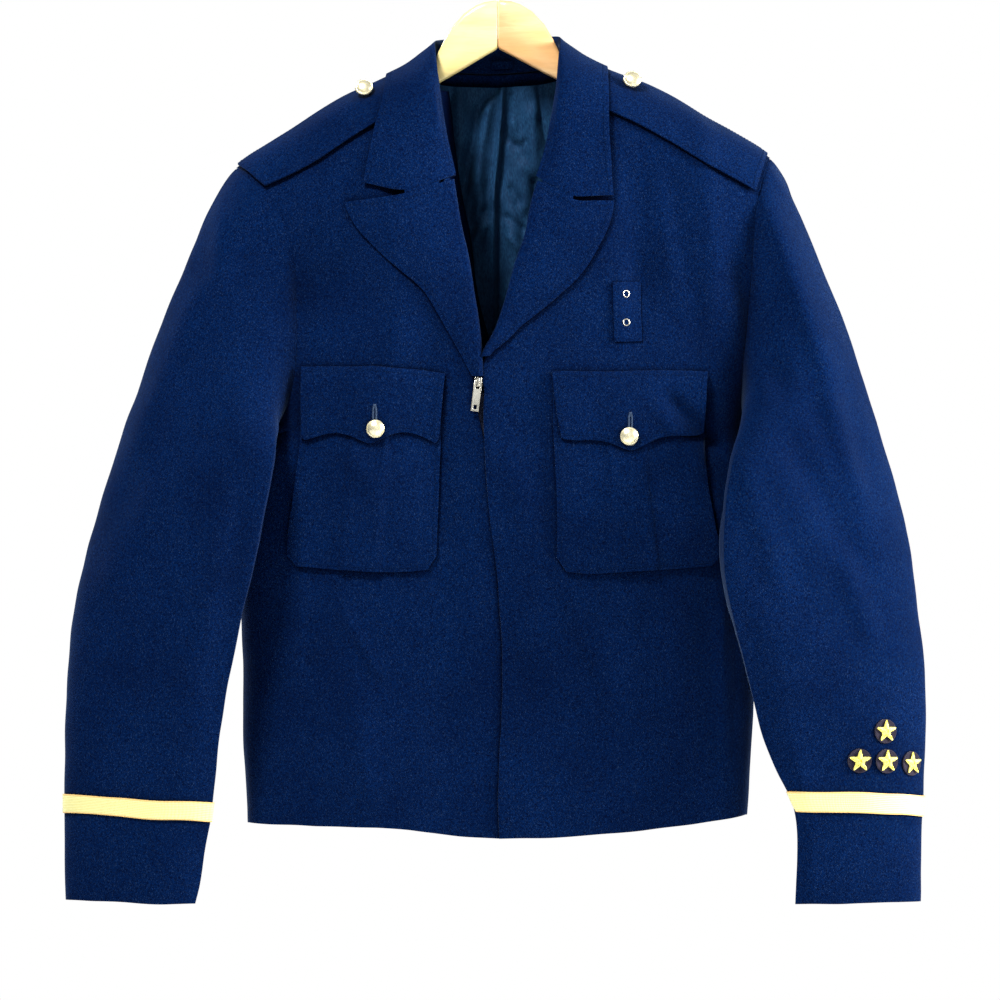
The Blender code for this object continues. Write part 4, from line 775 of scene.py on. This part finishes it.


# The right front's facing. The strip of wool inside the front's edge, which turns back from the roll of the
# collar and lapel towards the lining. It is partly the real facing and partly painted shade: a dark sheet in
# a much darker copy of the navy wool, with no sheen, standing for the shade inside the neck's opening.

# Painted shade: the facing's colours are a much darker copy of the navy wool, for the shade inside the neck's
# opening.
FACING_SHADE_COLOURS = (0.0001, 0.0012, 0.010), (0.0004, 0.006, 0.038), (0.004, 0.016, 0.060)
shaded_wool = wool_finish("facing_wool_painted_shade", *FACING_SHADE_COLOURS)
# Painted shade: no sheen, so that the facing stays dark where light grazes it.
shaded_wool.node_tree.nodes["Principled BSDF"].inputs["Sheen Weight"].default_value = 0.0
FACING_ROWS = (
    ("z", "outer", "inner"),
    (-154, -54.5, -44.0),
    (-195, -48.5, -40.5),
    (-236, -41.0, -33.5),
    (-276, -32.0, -26.5),
    (-317, -27.5, -21.5),
    (-345, -21.5, -15.5),
    (-378, -16.5, -7.0),
    (-410, -13.5, -4.0),
)
FACING_STEPS, FACING_COLUMNS = 56, 7
facing_low_to_high = np.array(FACING_ROWS[1:], float)[::-1]
points, faces = [], []
for k in range(FACING_STEPS + 1):
    z = FACING_ROWS[1][0] + (FACING_ROWS[-1][0] - FACING_ROWS[1][0]) * k / FACING_STEPS
    outer, inner = (np.interp(z, facing_low_to_high[:, 0], facing_low_to_high[:, c]) for c in (1, 2))
    for c in range(FACING_COLUMNS):
        share = c / (FACING_COLUMNS - 1)
        x = outer - 2 + (inner - outer + 2) * share + 0.8 * math.sin(z / 17) * share
        points.append((x * MM, (-40 + 34 * share**1.4) * MM, z * MM))
    if k:
        row = FACING_COLUMNS * k
        for c in range(row, row + FACING_COLUMNS - 1):
            faces.append((c - FACING_COLUMNS, c - FACING_COLUMNS + 1, c + 1, c))
facing = one_mesh("front_facing_right_painted_shade", points, faces, shaded_wool)
only(facing)
wall = facing.modifiers.new("thick", "SOLIDIFY")
wall.thickness = 1.0 * MM
bpy.ops.object.modifier_apply(modifier="thick")


# The cuff braid. A flat woven band of pale gold, sewn round each cuff; its ribs run along it and its two
# edges are bound a little tighter.

gold_braid, braid_shader = new_finish("gold_braid", 0.5, 0.15, Sheen_Weight=0.2)
weave_at = add(gold_braid, "ShaderNodeUVMap", uv_map="along").outputs["UV"]
rib_inputs = {"Vector": stretched(gold_braid, weave_at, (0.0, 1.0, 0.0)), "Scale": 3.6, "Distortion": 0.4}
ribs = add(gold_braid, "ShaderNodeTexWave", rib_inputs, bands_direction="Y")
pick_inputs = {"Vector": stretched(gold_braid, weave_at, (1.0, 0.0, 0.0)), "Scale": 60.0, "Distortion": 0.6}
picks = add(gold_braid, "ShaderNodeTexWave", pick_inputs)
rib_share = ramped(gold_braid, ribs.outputs["Fac"], 0.2, 0.8)
pick_share = ramped(gold_braid, picks.outputs["Fac"], 0.0, 0.4, 0.35, 0.0)
across = add(gold_braid, "ShaderNodeSeparateXYZ", {"Vector": weave_at}).outputs["Y"]
from_middle = add(gold_braid, "ShaderNodeMath", {0: across, 1: 0.5}, operation="SUBTRACT").outputs[0]
from_middle = add(gold_braid, "ShaderNodeMath", {0: from_middle}, operation="ABSOLUTE").outputs[0]
gilt = mixed(gold_braid, rib_share, (0.84, 0.79, 0.27), (0.97, 0.96, 0.50))
gilt = mixed(gold_braid, pick_share, gilt, (0.74, 0.62, 0.22))
gilt = mixed(gold_braid, ramped(gold_braid, from_middle, 0.40, 0.47, 0.0, 0.8), gilt, (0.80, 0.46, 0.14))
set_colour(gold_braid, braid_shader, gilt)
braid_height = mixed(gold_braid, 0.5, ribs.outputs["Color"], picks.outputs["Color"])
set_relief(gold_braid, braid_shader, braid_height, 0.5, 0.0003)

for hand in ("right", "left"):
    node = "cuff_braid_" + hand
    band = joined_up(node, gold_braid)
    middle = sum((vertex.co for vertex in band.data.vertices), Vector()) / len(band.data.vertices)
    along = band.data.uv_layers.new(name="along")
    for face in band.data.polygons:
        turns = []
        for corner in face.loop_indices:
            at = band.data.vertices[band.data.loops[corner].vertex_index].co
            turns.append(math.atan2(at.y - middle.y, at.x - middle.x) / math.tau)
        for corner, turn in zip(face.loop_indices, turns):
            at = band.data.vertices[band.data.loops[corner].vertex_index].co
            turn += 1 if turn < max(turns) - 0.5 else 0
            along.data[corner].uv = (turn, 0.0 if at.z > middle.z else 1.0)
    subdivided(band, 3)
    draped(band)
    rounded_rims(band, 0.25 * MM)
    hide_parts(node)
    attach(band, BODY)


# The four stars on the left cuff. Each is embroidered in gold thread on a round patch of dark felt: five
# arms, each with a ridge along its middle where the stitches from its two sides meet.


def stand(piece, centre, normal):
    """Moves the mesh of a piece made round the origin, facing +Z with its top at +Y, to its seat."""
    facing = Vector(normal).normalized()
    across = Vector((0, 0, 1)).cross(facing).normalized()
    top = facing.cross(across)
    for vertex in piece.data.vertices:
        x, y, z = vertex.co
        vertex.co = Vector(centre) + x * across + y * top + z * facing
    piece.data.update()


felt, felt_shader = new_finish("star_felt", 0.95, Specular_IOR_Level=0.15, Sheen_Weight=0.2)
felt_fuzz = mottle(felt, place(felt), 1100.0, 4.0)
set_colour(felt, felt_shader, mixed(felt, felt_fuzz, (0.006, 0.006, 0.016), (0.030, 0.022, 0.042)))
set_relief(felt, felt_shader, felt_fuzz, 0.5, 0.0004)

star_gold, star_shader = new_finish("star_gold", 0.42, 0.1)
silk = mottle(star_gold, place(star_gold), 900.0, 3.0)
set_colour(star_gold, star_shader, mixed(star_gold, silk, (0.86, 0.72, 0.10), (1.0, 0.95, 0.28)))
set_relief(star_gold, star_shader, silk, 0.4, 0.0003)

STAR_RADIUS, STAR_WAIST = 9.9, 3.8
PATCH_RADIUS = 10.6


def embroidered_star():
    """A star round the origin, raised along its arms, with a groove between each two rows of stitches."""
    bpy.ops.object.select_all(action="DESELECT")
    bpy.ops.mesh.primitive_circle_add(vertices=10, radius=STAR_RADIUS * MM, fill_type="TRIFAN")
    star = bpy.context.object
    for vertex in star.data.vertices:
        vertex.co.z = 1.9 * MM
        if vertex.co.length < 1.95 * MM:
            vertex.co.z = 2.7 * MM
            continue
        turn = math.atan2(vertex.co.y, vertex.co.x) - math.pi / 2
        arm = round(turn / (math.pi / 5)) % 2 == 0
        reach = (STAR_RADIUS if arm else STAR_WAIST) * MM
        vertex.co = (-reach * math.sin(turn), reach * math.cos(turn), (1.6 if arm else 1.0) * MM)
    bpy.ops.object.mode_set(mode="EDIT")
    bpy.ops.mesh.select_all(action="SELECT")
    bpy.ops.mesh.subdivide(number_cuts=7)
    bpy.ops.mesh.extrude_region_move(TRANSFORM_OT_translate={"value": (0, 0, 0)})
    bpy.ops.object.mode_set(mode="OBJECT")
    bpy.ops.object.mode_set(mode="EDIT")
    bpy.ops.mesh.select_all(action="SELECT")
    bpy.ops.mesh.remove_doubles(threshold=0.000001)
    bpy.ops.object.mode_set(mode="OBJECT")
    only(star)
    wall = star.modifiers.new("thick", "SOLIDIFY")
    wall.thickness = 1.0 * MM
    wall.offset = -1
    bpy.ops.object.modifier_apply(modifier="thick")
    for vertex in star.data.vertices:
        turn = math.atan2(vertex.co.x, vertex.co.y)
        arm = round(turn / (math.tau / 5)) * math.tau / 5
        out = vertex.co.x * math.sin(arm) + vertex.co.y * math.cos(arm)
        vertex.co.z += 0.12 * MM * math.sin(out / MM * math.tau / 1.1)
    bpy.ops.object.shade_smooth_by_angle(angle=math.radians(35))
    return star


def felt_patch():
    bpy.ops.object.select_all(action="DESELECT")
    bpy.ops.mesh.primitive_circle_add(vertices=48, radius=PATCH_RADIUS * MM, fill_type="NGON")
    patch = bpy.context.object
    bpy.ops.object.mode_set(mode="EDIT")
    bpy.ops.mesh.select_all(action="SELECT")
    bpy.ops.mesh.extrude_region_move(TRANSFORM_OT_translate={"value": (0, 0, 0.9 * MM)})
    bpy.ops.mesh.inset(thickness=0.5 * MM, depth=0.25 * MM)
    bpy.ops.mesh.inset(thickness=0.8 * MM, depth=-0.15 * MM)
    bpy.ops.mesh.inset(thickness=2.5 * MM, depth=0.0)
    bpy.ops.mesh.inset(thickness=2.5 * MM, depth=0.0)
    bpy.ops.mesh.select_all(action="SELECT")
    bpy.ops.mesh.normals_make_consistent(inside=False)
    bpy.ops.object.mode_set(mode="OBJECT")
    bpy.ops.object.shade_smooth_by_angle(angle=math.radians(35))
    return patch


sleeve_surface = surface_of(bpy.data.objects["sleeve_left_cloth"])
for node in ("star_top", "star_inner", "star_middle", "star_outer"):
    low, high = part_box(node)
    centre = (low + high) / 2
    hit, normal, _, _ = sleeve_surface.ray_cast(Vector((centre.x, -0.4, centre.z)), Vector(BEHIND))
    normal = normal if normal.y < 0 else -normal
    patch = felt_patch()
    patch.name = node + "_felt"
    patch.data.materials.append(felt)
    stand(patch, hit + normal * 0.1 * MM, normal)
    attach(patch, BODY)
    star = embroidered_star()
    star.name = node + "_gold"
    star.data.materials.append(star_gold)
    stand(star, hit + normal * 0.5 * MM, normal)
    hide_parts(node)
    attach(star, BODY)


# The buttons. Four small domed gilt buttons, pressed from brass with a turned-over rim; two close the
# pocket flaps and two hold the shoulder straps.

gilt_metal, gilt_shader = new_finish("gold_metal", 0.36, 0.72)
tarnish = mottle(gilt_metal, place(gilt_metal), 420.0, 5.0)
tarnish_share = ramped(gilt_metal, tarnish, 0.4, 0.7)
set_colour(gilt_metal, gilt_shader, mixed(gilt_metal, tarnish_share, (1.0, 0.96, 0.70), (0.95, 0.84, 0.48)))
set_relief(gilt_metal, gilt_shader, tarnish, 0.06, 0.0002)

BUTTON_SECTION = (
    ("radius", "height"),
    (0.0, 5.6),
    (2.0, 5.45),
    (4.0, 4.9),
    (5.6, 4.0),
    (6.5, 3.2),
    (6.8, 2.75),
    (7.1, 2.65),
    (7.5, 2.8),
    (7.9, 2.5),
    (8.0, 1.8),
    (8.0, 0.9),
    (7.6, 0.1),
    (6.5, 0.0),
    (1.9, 0.0),
    (1.7, -3.5),
    (0.0, -3.5),
)


def turned_button():
    """A button round the origin, turned from its section."""
    section = bpy.data.meshes.new("button")
    edges = [(k, k + 1) for k in range(len(BUTTON_SECTION) - 2)]
    section.from_pydata([(r * MM, 0, h * MM) for r, h in BUTTON_SECTION[1:]], edges, [])
    button = bpy.data.objects.new("button", section)
    bpy.context.scene.collection.objects.link(button)
    only(button)
    bpy.ops.object.mode_set(mode="EDIT")
    bpy.ops.mesh.select_all(action="SELECT")
    bpy.ops.mesh.spin(steps=48, angle=math.tau, center=(0, 0, 0), axis=(0, 0, 1))
    bpy.ops.mesh.select_all(action="SELECT")
    bpy.ops.mesh.remove_doubles(threshold=0.00001)
    bpy.ops.mesh.normals_make_consistent(inside=False)
    bpy.ops.object.mode_set(mode="OBJECT")
    bpy.ops.object.shade_smooth_by_angle(angle=math.radians(50))
    return button


def facing_of(node):
    """The middle of a flat round CAD node, and the way that it faces, towards the front."""
    points = np.array([tuple(vertex.co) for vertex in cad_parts[node].data.vertices])
    middle = points.mean(0)
    normal = np.linalg.svd(points - middle, full_matrices=False)[2][2]
    return Vector(middle), Vector(normal if normal[1] < 0 else -normal), points


first_button = turned_button()
for node in ("button_flap_right", "button_flap_left", "button_epaulette_right", "button_epaulette_left"):
    middle, normal, points = facing_of(node)
    base = min((Vector(tuple(point)) - middle).dot(normal) for point in points)
    button = first_button.copy()
    button.data = first_button.data.copy()
    button.name = node + "_gilt"
    bpy.context.scene.collection.objects.link(button)
    button.data.materials.append(gilt_metal)
    facing = (normal + Vector((0, -0.8 if "epaulette" in node else 0, 0))).normalized()
    seat = middle + (base + 5.5 * MM * facing.cross(normal).length) * normal
    stand(button, drape(np.array([tuple(seat)]))[0], facing)
    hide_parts(node)
    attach(button, BODY)
bpy.data.objects.remove(first_button)


# The flaps' buttonholes. Each is a short upright slit above its button, bound with close stitches of a
# paler thread.

pale_thread, pale_shader = new_finish("pale_thread", 0.6, Specular_IOR_Level=0.3)
pale_twist = mottle(pale_thread, place(pale_thread), 1800.0, 2.0)
pale_colour = mixed(pale_thread, pale_twist, (0.004, 0.016, 0.055), (0.060, 0.110, 0.200))
set_colour(pale_thread, pale_shader, pale_colour)
set_relief(pale_thread, pale_shader, pale_twist, 0.3, 0.0002)

BUTTONHOLES = (
    ("hand", "x", "top", "foot"),
    ("right", -108.2, -431.0, -449.0),
    ("left", 116.2, -438.0, -456.0),
)
for hand, x, top, foot in BUTTONHOLES[1:]:
    surface = surface_of(bpy.data.objects["flap_" + hand + "_cloth"])
    points, faces = [], []
    for k in range(26):
        share = k / 25
        z = top + (foot - top) * share
        for side in (-1, 1):
            reach = side * (0.35 + 1.0 * min(share * 4, 1))
            run = Vector((side * 0.9, 0, 0.3)).normalized()
            spot, normal, _, _ = surface.ray_cast(Vector(((x + reach) * MM, -0.3, z * MM)), Vector(BEHIND))
            thread_dash(points, faces, spot + normal * 0.1 * MM, run, normal, 1.9, 0.34)
    one_mesh("buttonhole_" + hand, points, faces, pale_thread)


# The badge tab's eyelets. Two small plated rings, pressed through the tab for the pins of a badge.

silver, silver_shader = new_finish("silver_metal", 0.3, 1.0)
scuffs = mottle(silver, place(silver), 700.0, 4.0)
set_colour(silver, silver_shader, mixed(silver, scuffs, (0.84, 0.82, 0.70), (0.52, 0.50, 0.44)))
set_relief(silver, silver_shader, scuffs, 0.08, 0.0002)

tab_surface = surface_of(bpy.data.objects["badge_tab_cloth"])
for node in ("eyelet_upper", "eyelet_lower"):
    middle = drape(np.array([tuple(facing_of(node)[0])]))[0]
    hit, normal, _, _ = tab_surface.ray_cast(Vector((middle[0], -0.4, middle[2])), Vector(BEHIND))
    normal = normal if normal.y < 0 else -normal
    bpy.ops.object.select_all(action="DESELECT")
    bpy.ops.mesh.primitive_torus_add(
        major_radius=2.9 * MM, minor_radius=0.5 * MM, major_segments=32, minor_segments=12
    )
    eyelet = bpy.context.object
    eyelet.name = node + "_plated"
    for vertex in eyelet.data.vertices:
        vertex.co.z *= 0.75 if vertex.co.z > 0 else 0.35
    eyelet.data.materials.append(silver)
    stand(eyelet, hit + normal * 0.1 * MM, normal)
    bpy.ops.object.shade_smooth_by_angle(angle=math.radians(60))
    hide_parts(node)
    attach(eyelet, BODY)


# The zip. A dark tape with a closed row of metal teeth behind the fronts, and at its top the bright slider
# and its pull tab, which swings on the slider's bridge.

tape, tape_shader = new_finish("zip_tape", 0.85, Specular_IOR_Level=0.15)
tape_inputs = {"Vector": place(tape), "Scale": 260.0, "Distortion": 0.5}
tape_weave = add(tape, "ShaderNodeTexWave", tape_inputs, bands_direction="Z").outputs["Fac"]
set_colour(tape, tape_shader, mixed(tape, tape_weave, (0.003, 0.004, 0.012), (0.010, 0.014, 0.036)))
set_relief(tape, tape_shader, tape_weave, 0.4, 0.0003)
zip_strip = joined_up("zip", tape)
subdivided(zip_strip, 1)
draped(zip_strip)
bpy.ops.object.shade_smooth_by_angle(angle=math.radians(40))
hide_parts("zip")
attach(zip_strip, BODY)

zip_points = np.array([tuple(vertex.co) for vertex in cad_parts["zip"].data.vertices])
zip_rows = np.unique(np.round(zip_points[:, 2], 4))
zip_slices = [zip_points[np.abs(zip_points[:, 2] - z) < 0.001] for z in zip_rows]
zip_middle = np.array([points[:, 0].mean() for points in zip_slices])
zip_front = np.array([points[:, 1].min() for points in zip_slices])

TOOTH_PITCH = 0.00135
bpy.ops.object.select_all(action="DESELECT")
bpy.ops.mesh.primitive_cube_add(size=1)
tooth = bpy.context.object
tooth.data.transform(Matrix.Diagonal((2.6 * MM, 1.0 * MM, 0.75 * MM, 1)))
bpy.ops.object.mode_set(mode="EDIT")
bpy.ops.mesh.select_all(action="SELECT")
bpy.ops.mesh.bevel(offset=0.22 * MM, segments=1)
bpy.ops.object.mode_set(mode="OBJECT")
tooth_points = np.array([tuple(vertex.co) for vertex in tooth.data.vertices])
tooth_faces = [tuple(face.vertices) for face in tooth.data.polygons]
teeth_points, teeth_faces = [], []
for k in range(int((zip_rows[-1] - zip_rows[0]) / TOOTH_PITCH) - 2):
    z = zip_rows[-1] - 0.0012 - TOOTH_PITCH * k
    side = 1 if k % 2 else -1
    x = np.interp(z, zip_rows, zip_middle) + side * 0.9 * MM
    at = np.array((x, np.interp(z, zip_rows, zip_front) - 0.45 * MM, z))
    first = len(teeth_points)
    teeth_points += [tuple(at + point) for point in tooth_points]
    teeth_faces += [tuple(first + v for v in face) for face in tooth_faces]
teeth_mesh = bpy.data.meshes.new("zip_teeth")
teeth_mesh.from_pydata(teeth_points, [], teeth_faces)
teeth = bpy.data.objects.new("zip_teeth", teeth_mesh)
bpy.context.scene.collection.objects.link(teeth)
bpy.data.objects.remove(tooth)
teeth_mesh.materials.append(silver)
draped(teeth)
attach(teeth, BODY)

slider = softened("zip_slider", 0.0006, segments=3)
slider.data.materials.append(silver)
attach(slider, BODY)
tab = softened("pull_tab", 0.0004, segments=3)
tab.data.materials.append(silver)
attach(tab, TAB)
